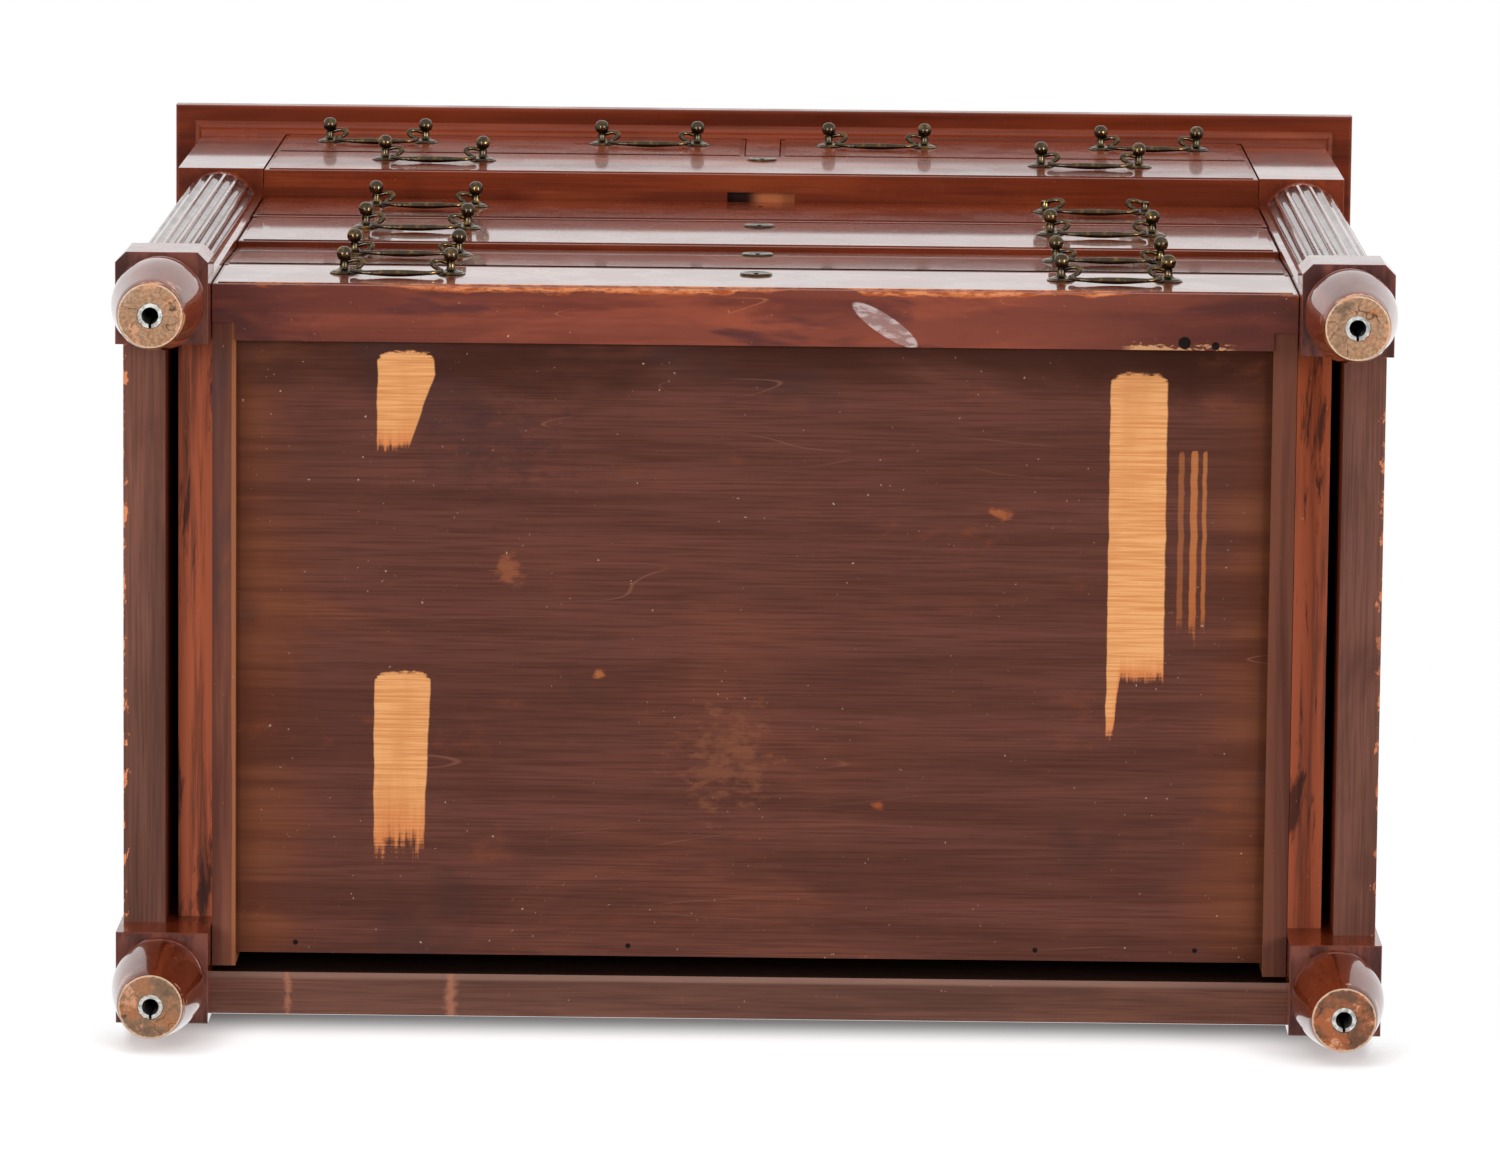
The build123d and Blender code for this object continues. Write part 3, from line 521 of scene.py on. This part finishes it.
def rail_front_material():
    """Frieze rail and the rails between drawers: polished, with bare wood inside the mortise and painted shade in its
    left part.
    """
    t = wood_tree("frieze_rail_mahogany", "x", *MAHOGANY, seed=8.0, blotch=0.7, lines=0.3)
    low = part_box("frieze_rail")[0]
    hole = t.band(t.math("ABSOLUTE", t.x), 0.0262, 0.0268, 1.0, 0.0)
    hole = t.times(hole, t.band(t.z, low.z + 0.0111, low.z + 0.0114, 1.0, 0.0))
    hole = t.times(hole, t.band(t.z, low.z + 0.0004, low.z + 0.0008))
    # Inside the mortise: bare wood to the right and painted shade to the left.
    bare = t.mix(t.band(t.x, -0.012, 0.002), srgb(34, 12, 7), srgb(186, 108, 68))
    return finish_wood(t, t.mix(hole, t.color, bare), (0.24, 0.4), 0.08, 1.0, 0.05)


# Painted shade: the second front's undersides are made nearly black for the shade in the gap above the lowest front.
SECOND_UNDERSIDE_SHADE_TONES = (srgb(27, 11, 7), srgb(34, 14, 9))
TOP_UNDERSIDE_TONES = (srgb(82, 30, 14), srgb(112, 44, 21))
front_wood = polished("mahogany_lower_fronts", "x", 1.0, 0.88)
frieze_front_wood = polished("mahogany_frieze_fronts", "x", 1.5, 0.62, (0.728, 0.78, 0.34))
second_front_wood = polished("mahogany_second_front", "x", 1.2, gloss=1.4, under=SECOND_UNDERSIDE_SHADE_TONES)
top_wood = polished("mahogany_top", "x", 9.0, 0.36, under=TOP_UNDERSIDE_TONES)
post_wood = post_material()
panel_wood = polished("mahogany_panels", "z", 6.0)
stained_tree = wood_tree("stained_boards", "x", *STAINED, seed=6.0)
stained = finish_wood(stained_tree, stained_tree.color, (0.55, 0.75), 0.05)
back_wood = back_material("back_rail_stain", "x")
lining_wood = box_wood()
frieze_wood = rail_front_material()

FRIEZE_FRONTS = ("drawer_5_front", "left_small_drawer_front", "right_small_drawer_front")
for name in nodes:
    if name.endswith("_front"):
        dress(name, frieze_front_wood if name in FRIEZE_FRONTS else front_wood)
    elif name.endswith("_box"):
        dress(name, lining_wood)
    elif name.endswith("_bottom"):
        dress(name, stained)
for name in ("top_board", "top_moulding", "small_drawer_divider"):
    dress(name, top_wood)
for name in ("frieze_rail", "front_rails"):
    dress(name, frieze_wood)
for name in ("left_side_rails", "right_side_rails"):
    dress(name, rail_material())
for name in ("left_side_panel", "right_side_panel"):
    dress(name, panel_wood)
for name in ("back_rails", "back_panel"):
    dress(name, back_wood)
dress("back_muntin", back_material("back_muntin_stain", "z"))
dress("drawer_runners", runner_material())
dress("drawer_1_bottom", bottom_panel())
dress("drawer_1_front", first_front())
dress("drawer_2_front", second_front_wood)

# Metals


def brass(name):
    """Brass gone dark, rubbed bright in clouds."""
    t = Tree(name)
    cloud = t.noise(t.place, 160.0, 5.0, 0.65)
    fine = t.noise(t.place, 900.0, 3.0, 0.6)
    color = t.mix(t.band(cloud, 0.48, 0.72), srgb(72, 63, 50), srgb(146, 116, 68))
    t.surface(color, t.band(fine, 0.3, 0.7, 0.14, 0.24), t.bump(fine, 0.05, 0.0001), Metallic=1.0)
    return t.material


def steel(name):
    """Dull grey metal with paler clouds."""
    t = Tree(name)
    cloud = t.noise(t.place, 240.0, 5.0, 0.65)
    color = t.mix(t.band(cloud, 0.35, 0.7), srgb(150, 146, 140), srgb(214, 212, 208))
    t.surface(color, t.band(cloud, 0.3, 0.7, 0.3, 0.55), t.bump(cloud, 0.2, 0.0003), Metallic=1.0)
    return t.material


old_brass = brass("dark_oxidised_brass")
socket_steel = steel("worn_socket_steel")
for name in nodes:
    if name.endswith("_brasses") or name.endswith("_bail"):
        dress(name, old_brass)
dress("caster_sockets", socket_steel)

# Meshes built in millimetres of the row frame


class Build:
    """Points and faces of one piece, joined from turned, lofted and squared forms."""

    def __init__(self):
        self.points = []
        self.faces = []

    def loft(self, rings, cap=True):
        """Skins closed rings of points in turn, and caps both ends."""
        base = len(self.points)
        count = len(rings[0])
        for ring in rings:
            self.points += [tuple(point) for point in ring]
        for i in range(len(rings) - 1):
            for j in range(count):
                k = (j + 1) % count
                a = base + i * count
                self.faces.append((a + j, a + k, a + count + k, a + count + j))
        if cap:
            self.faces.append(tuple(base + j for j in reversed(range(count))))
            last = base + (len(rings) - 1) * count
            self.faces.append(tuple(last + j for j in range(count)))

    def turned(self, profile, centre, axis, segments):
        """A turning from (radius, reach) rows."""
        axis = Vector(axis)
        across = axis.orthogonal().normalized()
        other = axis.cross(across)
        rings = []
        for radius, reach in profile:
            middle = Vector(centre) + axis * reach
            turns = [math.tau * n / segments for n in range(segments)]
            rings.append([middle + (across * math.cos(turn) + other * math.sin(turn)) * radius for turn in turns])
        self.loft(rings, cap=False)

    def squared(self, outline, levels, inset=0.6):
        """An upright prism of an outline between two levels, with its end edges eased."""
        low, high = levels
        middle = Vector((sum(p[0] for p in outline), sum(p[1] for p in outline))) / len(outline)
        rings = []
        for z, pull in ((low, inset), (low + inset, 0), (high - inset, 0), (high, inset)):
            ring = []
            for x, y in outline:
                away = Vector((x, y)) - middle
                ring.append((x - math.copysign(pull, away.x), y - math.copysign(pull, away.y), z))
            rings.append(ring)
        self.loft(rings)

    def tube(self, path, radii, sides):
        """A round bar of changing radius along a path."""
        turns = [math.tau * n / sides for n in range(sides)]
        rings = []
        for i, point in enumerate(path):
            before, after = path[max(i - 1, 0)], path[min(i + 1, len(path) - 1)]
            run = (after - before).normalized()
            side = run.orthogonal() if i == 0 else side
            side = (side - run * side.dot(run)).normalized()
            other = run.cross(side)
            rings.append([point + (side * math.cos(turn) + other * math.sin(turn)) * radii[i] for turn in turns])
        self.loft(rings)

    def mesh(self, name, sharp):
        """The form as a mesh in metres, smooth but for edges over the sharp angle."""
        form = bmesh.new()
        points = [form.verts.new(Vector(point) * 0.001) for point in self.points]
        for face in self.faces:
            form.faces.new([points[i] for i in face])
        bmesh.ops.remove_doubles(form, verts=form.verts, dist=0.000001)
        bmesh.ops.dissolve_degenerate(form, dist=0.0000005, edges=form.edges)
        bmesh.ops.recalc_face_normals(form, faces=form.faces)
        mesh = bpy.data.meshes.new(name)
        form.to_mesh(mesh)
        form.free()
        mesh.shade_smooth()
        mesh.set_sharp_from_angle(angle=math.radians(sharp))
        return mesh

    def piece(self, name, material, body, *replaced, sharp=35):
        place(self.mesh(name, sharp), name, material, body, *replaced)


def place(mesh, name, material, body, *replaced, at=(0, 0, 0)):
    """Puts a mesh on its body, in place of the pieces that it replaces."""
    thing = bpy.data.objects.new(name, mesh)
    thing.location = Vector(at)
    bpy.context.scene.collection.objects.link(thing)
    if not mesh.materials:
        mesh.materials.append(material)
    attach(thing, body)
    if replaced:
        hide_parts(*replaced)


def smooth_path(points, steps):
    """A Catmull-Rom line through the points, steps to each run."""
    points = [Vector(p) for p in points]
    points = [points[0] * 2 - points[1]] + points + [points[-1] * 2 - points[-2]]
    line = []
    for a, b, c, d in zip(points, points[1:], points[2:], points[3:]):
        for n in range(steps):
            t = n / steps
            curved = (a * 2 - b * 5 + c * 4 - d) * t * t + (b * 3 - a - c * 3 + d) * t * t * t
            line.append((b * 2 + (c - a) * t + curved) / 2)
    line.append(points[-2])
    return line


# Corner posts. Profiles give the radius and the height, from the sleeve's bore round the foot and back.

FOOT_PROFILE = [
    (9.1, 38.0), (9.1, 0.0), (22.3, 0.0), (22.9, 0.25), (23.3, 0.9), (25.2, 12.0), (27.4, 25.0), (29.4, 38.0),
    (31.2, 51.0), (32.4, 62.0), (33.0, 71.0), (32.9, 76.0), (32.1, 80.5), (30.6, 84.0), (28.4, 86.6), (26.6, 88.2),
    (26.4, 89.2), (27.4, 89.8), (29.0, 90.3), (30.0, 91.4), (30.3, 93.0), (30.0, 94.6), (29.2, 95.8), (28.9, 96.4),
    (29.6, 97.0), (30.7, 97.6), (31.3, 99.0), (31.4, 101.0), (31.0, 103.2), (30.0, 104.6), (29.4, 105.4),
    (29.4, 108.0), (0.0, 108.0), (0.0, 38.0),
]
SQUARE = [(-POST_HALF, -POST_HALF), (POST_HALF, -POST_HALF), (POST_HALF, POST_HALF), (-POST_HALF, POST_HALF)]
BLOCK_CUT = 7.5
COLUMN_RADIUS = 31.2
COLUMN_STEPS = 320
COLUMN_TURN, COLUMN_SWEEP = -67.4, 186.8
INNER_FILLET_FRONT = -12
STILE_SIDE, STILE_FRONT = 30.7, 15.3
FLUTE_RADIUS, FLUTE_CENTRE, FLUTE_MARGIN = 3.9, 31.8, 20.0
FLUTE_TURNS = range(-54, 109, 18)
FLUTE_END_STEPS = 8


def column_radius_at(turn, reach):
    """How far the fluted column's surface is from its axis, at a turn in degrees and a distance in from an end."""
    if reach < FLUTE_MARGIN:
        return COLUMN_RADIUS
    scoop = FLUTE_RADIUS
    if reach < FLUTE_MARGIN + FLUTE_RADIUS:
        scoop = math.sqrt(max(FLUTE_RADIUS**2 - (FLUTE_MARGIN + FLUTE_RADIUS - reach) ** 2, 0))
    nearest = min(FLUTE_TURNS, key=lambda t: abs(t - turn))
    off = math.radians(turn - nearest)
    inside = scoop**2 - (FLUTE_CENTRE * math.sin(off)) ** 2
    if inside <= 0:
        return COLUMN_RADIUS
    return min(COLUMN_RADIUS, FLUTE_CENTRE * math.cos(off) - math.sqrt(inside))


def column_ring(side, x, y, z):
    """The column's outline at a height: from the inner fillet round the flutes to the stile and the back."""
    reach = min(z - BLOCK_TOP, COLUMN_TOP - z)
    ring = [(x - side * POST_HALF, y + INNER_FILLET_FRONT, z)]
    for n in range(COLUMN_STEPS + 1):
        turn = COLUMN_TURN + COLUMN_SWEEP * n / COLUMN_STEPS
        radius = column_radius_at(turn, reach)
        angle = math.radians(turn)
        ring.append((x + side * radius * math.sin(angle), y - radius * math.cos(angle), z))
    for across, back in ((STILE_SIDE, STILE_FRONT), (STILE_SIDE, POST_HALF), (-POST_HALF, POST_HALF)):
        ring.append((x + side * across, y + back, z))
    return ring


def front_post(side, x, y):
    """A front corner post. side is 1 at the right and -1 at the left."""
    post = Build()
    post.turned(FOOT_PROFILE, (x, y, 0), (0, 0, 1), 96)
    corner = [(-POST_HALF, -POST_HALF + BLOCK_CUT), (-POST_HALF + BLOCK_CUT, -POST_HALF)]
    outline = corner + [(-u, v) for u, v in reversed(corner)] + [(POST_HALF, POST_HALF), (-POST_HALF, POST_HALF)]
    post.squared([(x + u, y + v) for u, v in outline], (FOOT_TOP, BLOCK_TOP))
    ends = [FLUTE_MARGIN + FLUTE_RADIUS * n / FLUTE_END_STEPS for n in range(FLUTE_END_STEPS + 1)]
    levels = [BLOCK_TOP] + [BLOCK_TOP + e for e in ends] + [COLUMN_TOP - e for e in reversed(ends)] + [COLUMN_TOP]
    post.loft([column_ring(side, x, y, z) for z in levels])
    post.squared([(x + u, y + v) for u, v in SQUARE], (COLUMN_TOP, POST_TOP), 0.5)
    return post


def rear_post(x, y):
    """A rear corner post: a turned foot under a square stile."""
    post = Build()
    post.turned(FOOT_PROFILE, (x, y, 0), (0, 0, 1), 96)
    post.squared([(x + u, y + v) for u, v in SQUARE], (FOOT_TOP, POST_TOP), 0.8)
    return post


for side, word in ((-1, "left"), (1, "right")):
    front_post(side, side * POST_X, FRONT + POST_HALF).piece(
        "turned_front_" + word + "_post", post_wood, "carcass", "front_" + word + "_post", sharp=28
    )
    rear_post(side * POST_X, REAR - POST_HALF).piece(
        "turned_rear_" + word + "_post", post_wood, "carcass", "rear_" + word + "_post", sharp=28
    )

# Brasses: turned posts, swan-neck bails, round escutcheons and lock cases

HALF_SPACING = 38.8
PIN_STANDOFF = 8
HANDLE_HEIGHT_SHARE = 0.57
LONG_REACH_SHARE, SMALL_REACH_SHARE = 0.667, 0.586
KEYHOLE_DROP = 34
PLATE_RADIUS, PLATE_DROP = 12, 1.5
LOCK_HALF_WIDTH, LOCK_HEIGHT, LOCK_NEAR, LOCK_FAR = 29, 40, 15, 26
DRAWERS = [n[: -len("_front")] for n in sorted(nodes) if n.endswith("_front")]
POST_PROFILE = [
    (0.0, 0.0), (10.2, 0.0), (10.6, 0.4), (10.3, 0.9), (9.3, 1.1), (8.9, 1.5), (8.7, 1.9), (7.2, 2.3), (5.6, 2.7),
    (4.4, 3.2), (3.6, 4.0), (3.2, 5.0), (3.1, 8.0), (3.5, 8.4), (3.5, 8.8), (2.7, 9.1), (2.6, 9.3),
]
BALL_PROFILE = [
    (2.6, 9.3), (3.6, 9.6), (4.6, 10.5), (5.25, 11.9), (5.5, 13.5), (5.5, 14.6), (5.2, 16.2), (4.5, 17.6),
    (3.4, 18.7), (2.0, 19.4), (0.0, 19.6),
]
BROKEN_PROFILE = [(1.9, 9.2), (0.0, 9.0)]
# Half of a bail, from its left pin to the middle of its bar
BAIL_PATH = [
    (-38.8, 0.0, 0.0), (-35.4, -0.6, 0.0), (-31.0, -1.8, -0.6), (-27.0, -1.6, -1.8), (-25.4, 0.0, -3.4),
    (-27.0, 2.0, -5.4), (-30.2, 3.6, -8.2), (-32.4, 4.1, -12.5), (-31.8, 4.3, -18.0), (-27.6, 4.5, -23.2),
    (-21.0, 4.7, -25.5), (-12.0, 4.8, -26.1), (0.0, 4.9, -26.3),
]
WIRE_RADIUS, PIN_RADIUS, COLLAR_RADIUS = 1.6, 1.45, 2.3
COLLARS = (18.4, 20.4)


def bail_radius(point):
    """The bar swells to its middle between collars, the neck is thicker in its curl, and the pins are thin."""
    reach = abs(point.x)
    if point.z < -20:
        swell = WIRE_RADIUS + 1.0 * max(0.0, 1 - (reach / 19) ** 2) ** 0.8
        return max([swell] + [COLLAR_RADIUS - abs(reach - collar) * 1.4 for collar in COLLARS])
    if reach > 36 and point.z > -1:
        return PIN_RADIUS
    if point.z > -6.5:
        return WIRE_RADIUS + 0.5 * max(0.0, 1 - (reach - 25) / 4)
    return WIRE_RADIUS


def bail_mesh():
    """A swan-neck bail about its own pins: curled necks at the posts and a swelled bar with collars."""
    path = smooth_path(BAIL_PATH + [(-x, y, z) for x, y, z in reversed(BAIL_PATH[:-1])], 9)
    form = Build()
    form.tube(path, [bail_radius(point) for point in path], 14)
    return form.mesh("swan_neck_bail", 60)


def keyhole_outline(x, z, grow):
    """The keyhole seen from the front: a round top over a slot, as points about its middle."""
    outline = []
    for n in range(19):
        turn = math.radians(-60 + 300 * n / 18)
        outline.append((x + (2.6 + grow) * math.cos(turn), z + (2.6 + grow) * math.sin(turn)))
    outline += [(x - 1.3 - grow, z - 8 - grow), (x + 1.3 + grow, z - 8 - grow)]
    return outline


def escutcheon(form, x, face, z):
    """A round plate with a raised rim, cut through for the key."""
    inner = keyhole_outline(x, z, 0)
    rows = []
    for share, proud in ((0, 0.2), (0, 1.0), (0.12, 1.1), (0.72, 1.15), (0.8, 1.5), (0.93, 1.5), (1, 1.0), (1, 0)):
        row = []
        for u, v in inner:
            out = Vector((u - x, v - z + PLATE_DROP))
            spot = out * (1 - share) + out.normalized() * PLATE_RADIUS * share
            row.append((x + spot.x, face - proud, z - PLATE_DROP + spot.y))
        rows.append(row)
    form.loft(rows + rows[:1], cap=False)


def settle(name, z):
    """How far the second drawer has tipped forward in its opening at a height, as metres along Y."""
    low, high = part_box(name + "_front")
    return -0.0041 + 0.004 * (z - low.z) / (high.z - low.z) if name == "drawer_2" else 0.0


def eased_front(name):
    """A drawer front with close joints at its sides. Its face follows the way that the drawer has settled."""
    source = nodes[name + "_front"]
    mesh = source.data.copy()
    mesh.transform(source.matrix_world)
    low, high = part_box(name + "_front")
    shoulder, cut, eased, near = low.y + 0.0009, 0.0018, 0.0005, 0.00002
    for point in mesh.vertices:
        for edge, inward in ((low.x, 1), (high.x, -1)):
            if abs(point.co.x - edge - inward * cut) < near and abs(point.co.y - shoulder) < near:
                point.co.x = edge + inward * eased
            elif abs(point.co.x - edge) < near and abs(point.co.y - shoulder - cut) < near:
                point.co.y = shoulder + eased
        if point.co.y < low.y + 0.01:
            point.co.y += settle(name, point.co.z)
    place(mesh, name + "_eased_front", None, name, name + "_front")


bail_form = bail_mesh()
bail_form.materials.append(old_brass)
tipped_bail_form = bail_form.copy()
tipped_bail_form.transform(Matrix.Rotation(math.radians(-5.6), 4, "X"))
for name in DRAWERS:
    is_long = name.startswith("drawer")
    front_low, front_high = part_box(name + "_front")
    face = front_low.y * 1000
    low_z, high_z = front_low.z * 1000, front_high.z * 1000
    middle = (front_low.x + front_high.x) * 500
    half_width = (front_high.x - front_low.x) * 500
    reach = half_width * (LONG_REACH_SHARE if is_long else SMALL_REACH_SHARE)
    handle_z = low_z + (high_z - low_z) * HANDLE_HEIGHT_SHARE
    eased_front(name)
    form = Build()
    stand = face + settle(name, handle_z * 0.001) * 1000
    for side, x in (("left", middle - reach), ("right", middle + reach)):
        broken = name == "drawer_4" and side == "right"
        profile = POST_PROFILE + (BROKEN_PROFILE if broken else BALL_PROFILE)
        for end in (-1, 1):
            form.turned(profile, (x + end * HALF_SPACING, stand, handle_z), (0, -1, 0), 28)
        bail = name + "_" + side + "_bail"
        pin = Vector((x, face - PIN_STANDOFF, handle_z)) * 0.001
        shape = tipped_bail_form if name == "drawer_2" else bail_form
        place(shape, name + "_swan_neck_" + side, old_brass, bail, bail, at=pin)
    if is_long and name != "drawer_4":
        plate_z = high_z - KEYHOLE_DROP
        escutcheon(form, middle, face + settle(name, plate_z * 0.001) * 1000, plate_z)
    if is_long:
        left, right, near, far = middle - LOCK_HALF_WIDTH, middle + LOCK_HALF_WIDTH, face + LOCK_NEAR, face + LOCK_FAR
        lock_box = [(left, near), (right, near), (right, far), (left, far)]
        form.squared(lock_box, (high_z - LOCK_HEIGHT, high_z), 0.5)
    form.piece(name + "_turned_brasses", old_brass, name, name + "_brasses")

# Camera


def photo_camera():
    """The photograph's camera: below the chest, which lay on its back, and looking up its length."""
    data = bpy.data.cameras.new("photo_camera")
    data.sensor_width = 36
    data.lens = FOCAL_PIXELS * data.sensor_width / PHOTO_WIDTH
    data.clip_start = 0.1
    data.clip_end = 200
    camera = bpy.data.objects.new("photo_camera", data)
    turn = Matrix.Rotation(CAMERA_TURN.length, 3, CAMERA_TURN.normalized())
    rightward, downward, forward = turn[0], turn[1], turn[2]
    columns = (rightward, -downward, -forward)
    camera.matrix_world = Matrix.Translation(CAMERA_PLACE) @ Matrix(
        [[column[i] for column in columns] for i in range(3)]
    ).to_4x4()
    bpy.context.scene.collection.objects.link(camera)
    bpy.context.scene.camera = camera


FOCAL_PIXELS = 8597.4
PHOTO_WIDTH = 1500
CAMERA_PLACE = Vector((0.03935, -0.93524, -5.99877))
CAMERA_TURN = Vector((math.radians(8.3407), math.radians(0.4237), math.radians(0.5872)))
photo_camera()

# World, floor, backdrop and lamps

WORLD_FILL = 0.55
SHEET_COLOUR = (0.8, 0.8, 0.8)
SHEET_GLOW = 0.45
# How high up the back the chest rests on the sheet, and how far the painted shadow of that contact reaches
REST_Z = 0.147
CONTACT_REACH = 0.09


def studio_world():
    """White for rays from the camera, mirrors and glass, and a weaker white fill for the rest."""
    world = bpy.data.worlds.new("studio")
    world.use_nodes = True
    bpy.context.scene.world = world
    tree = world.node_tree
    tree.nodes.clear()
    out, path, mixed = (tree.nodes.new("ShaderNode" + kind) for kind in ("OutputWorld", "LightPath", "MixShader"))
    seen = path.outputs["Is Camera Ray"]
    for ray in ("Is Glossy Ray", "Is Transmission Ray"):
        either = tree.nodes.new("ShaderNodeMath")
        either.operation = "MAXIMUM"
        tree.links.new(seen, either.inputs[0])
        tree.links.new(path.outputs[ray], either.inputs[1])
        seen = either.outputs[0]
    tree.links.new(seen, mixed.inputs[0])
    for slot, strength in ((1, WORLD_FILL), (2, 1.0)):
        light = tree.nodes.new("ShaderNodeBackground")
        light.inputs[0].default_value = (1, 1, 1, 1)
        light.inputs[1].default_value = strength
        tree.links.new(light.outputs[0], mixed.inputs[slot])
    tree.links.new(mixed.outputs[0], out.inputs[0])


studio_world()


def contact_shade(t, contact):
    """Painted shadow on a sheet near the edge that the chest rests on, and painted shadow spots by its feet, given as
    the share of light left.
    """
    aside = t.math("ABSOLUTE", t.x)
    reach = t.plus(t.minus(contact, t.z), t.times(t.band(aside, 0.39, 0.5), CONTACT_REACH))
    shade = t.band(reach, 0.0, CONTACT_REACH, 0.2, 1.0)
    foot_x = t.times(t.minus(aside, 0.424), 0.9)
    foot_z = t.times(t.minus(t.z, 0.06), 0.55)
    foot_shadow = t.math("SQRT", t.plus(t.math("POWER", foot_x, 2.0), t.math("POWER", foot_z, 2.0)))
    return t.times(shade, t.band(foot_shadow, 0.01, 0.07, 0.72, 1.0))


def ground(name, corners, fade_from, fade_to, contact=None):
    """A white sheet that only rays from its front see. It fades into the white world with distance.

    contact is the level of an edge that the chest rests on, where a shadow is painted on the sheet. Beside the chest
    that edge fades away.
    """
    mesh = bpy.data.meshes.new(name)
    mesh.from_pydata(corners, [], [(0, 1, 2, 3)])
    sheet = bpy.data.objects.new(name, mesh)
    bpy.context.scene.collection.objects.link(sheet)
    t = Tree(name)
    path = t.add("ShaderNodeLightPath")
    facing = t.add("ShaderNodeNewGeometry")
    shown = t.times(path.outputs["Is Camera Ray"], t.minus(1.0, facing.outputs["Backfacing"]))
    shown = t.times(shown, t.band(t.distance((0, 0, 0)), fade_from, fade_to, 1.0, 0.0))
    clear = t.add("ShaderNodeBsdfTransparent")
    matt = t.add("ShaderNodeBsdfDiffuse")
    matt.inputs[0].default_value = (*SHEET_COLOUR, 1)
    glow = t.add("ShaderNodeEmission")
    glow.inputs[1].default_value = SHEET_GLOW
    if contact is not None:
        shade = contact_shade(t, contact)
        beside = t.band(t.math("ABSOLUTE", t.x), 0.44, 0.456, 1.0, 0.0)
        shown = t.times(shown, t.math("MAXIMUM", beside, t.band(t.z, 0.0, 0.12, 1.0, 0.0)))
        # The painted shadow darkens both the sheet's glow and its colour.
        t.link(t.times(shade, SHEET_GLOW), glow.inputs[1])
        t.link(t.mix(shade, (0.0, 0.0, 0.0), SHEET_COLOUR), matt.inputs[0])
    both = t.add("ShaderNodeAddShader")
    t.link(matt.outputs[0], both.inputs[0])
    t.link(glow.outputs[0], both.inputs[1])
    mixed = t.add("ShaderNodeMixShader")
    t.link(shown, mixed.inputs[0])
    t.link(clear.outputs[0], mixed.inputs[1])
    t.link(both.outputs[0], mixed.inputs[2])
    t.link(mixed.outputs[0], t.out.inputs["Surface"])
    mesh.materials.append(t.material)


rear = cad_box[1].y
ground("floor", [(-6, -6, 0), (6, -6, 0), (6, 6, 0), (-6, 6, 0)], 1.2, 4.0)
ground("rest_sheet", [(-2, rear, -2), (2, rear, -2), (2, rear, REST_Z), (-2, rear, REST_Z)], 0.9, 1.6, REST_Z)


def lamp(name, place, target, size, power, mirrored=False):
    """A rectangular area lamp. Only mirrored ones show in reflections."""
    data = bpy.data.lights.new(name, "AREA")
    data.shape = "RECTANGLE"
    data.size, data.size_y = size
    data.energy = power
    thing = bpy.data.objects.new(name, data)
    thing.location = place
    thing.rotation_mode = "QUATERNION"
    thing.rotation_quaternion = (Vector(target) - Vector(place)).to_track_quat("-Z", "Y")
    thing.visible_glossy = mirrored
    bpy.context.scene.collection.objects.link(thing)


lamp("front_softbox", (-0.8, -4.4, 1.4), (0, 0, 0.5), (4.6, 4.0), 120)
lamp("under_softbox", (-0.4, -2.0, -4.6), (0, 0, 0), (4.6, 4.0), 22)
lamp("above_softbox", (0.8, -0.8, 4.8), (0, 0, 0.9), (4.2, 4.2), 110)
lamp("left_softbox", (-4.4, -0.4, 0.9), (0, 0, 0.5), (3.4, 3.4), 70)
lamp("right_softbox", (4.4, -0.2, 0.9), (0, 0, 0.5), (3.4, 3.4), 60)
lamp("back_softbox", (0.4, 4.6, 1.4), (0, 0, 0.5), (3.6, 3.6), 80)
lamp("key_sparkle", (4.4, -1.1, -4.0), (0, -0.27, 0.4), (1.7, 1.7), 150, True)
lamp("fill_sparkle", (-2.9, -1.2, -5.1), (0, -0.27, 0.4), (1.5, 1.5), 105, True)
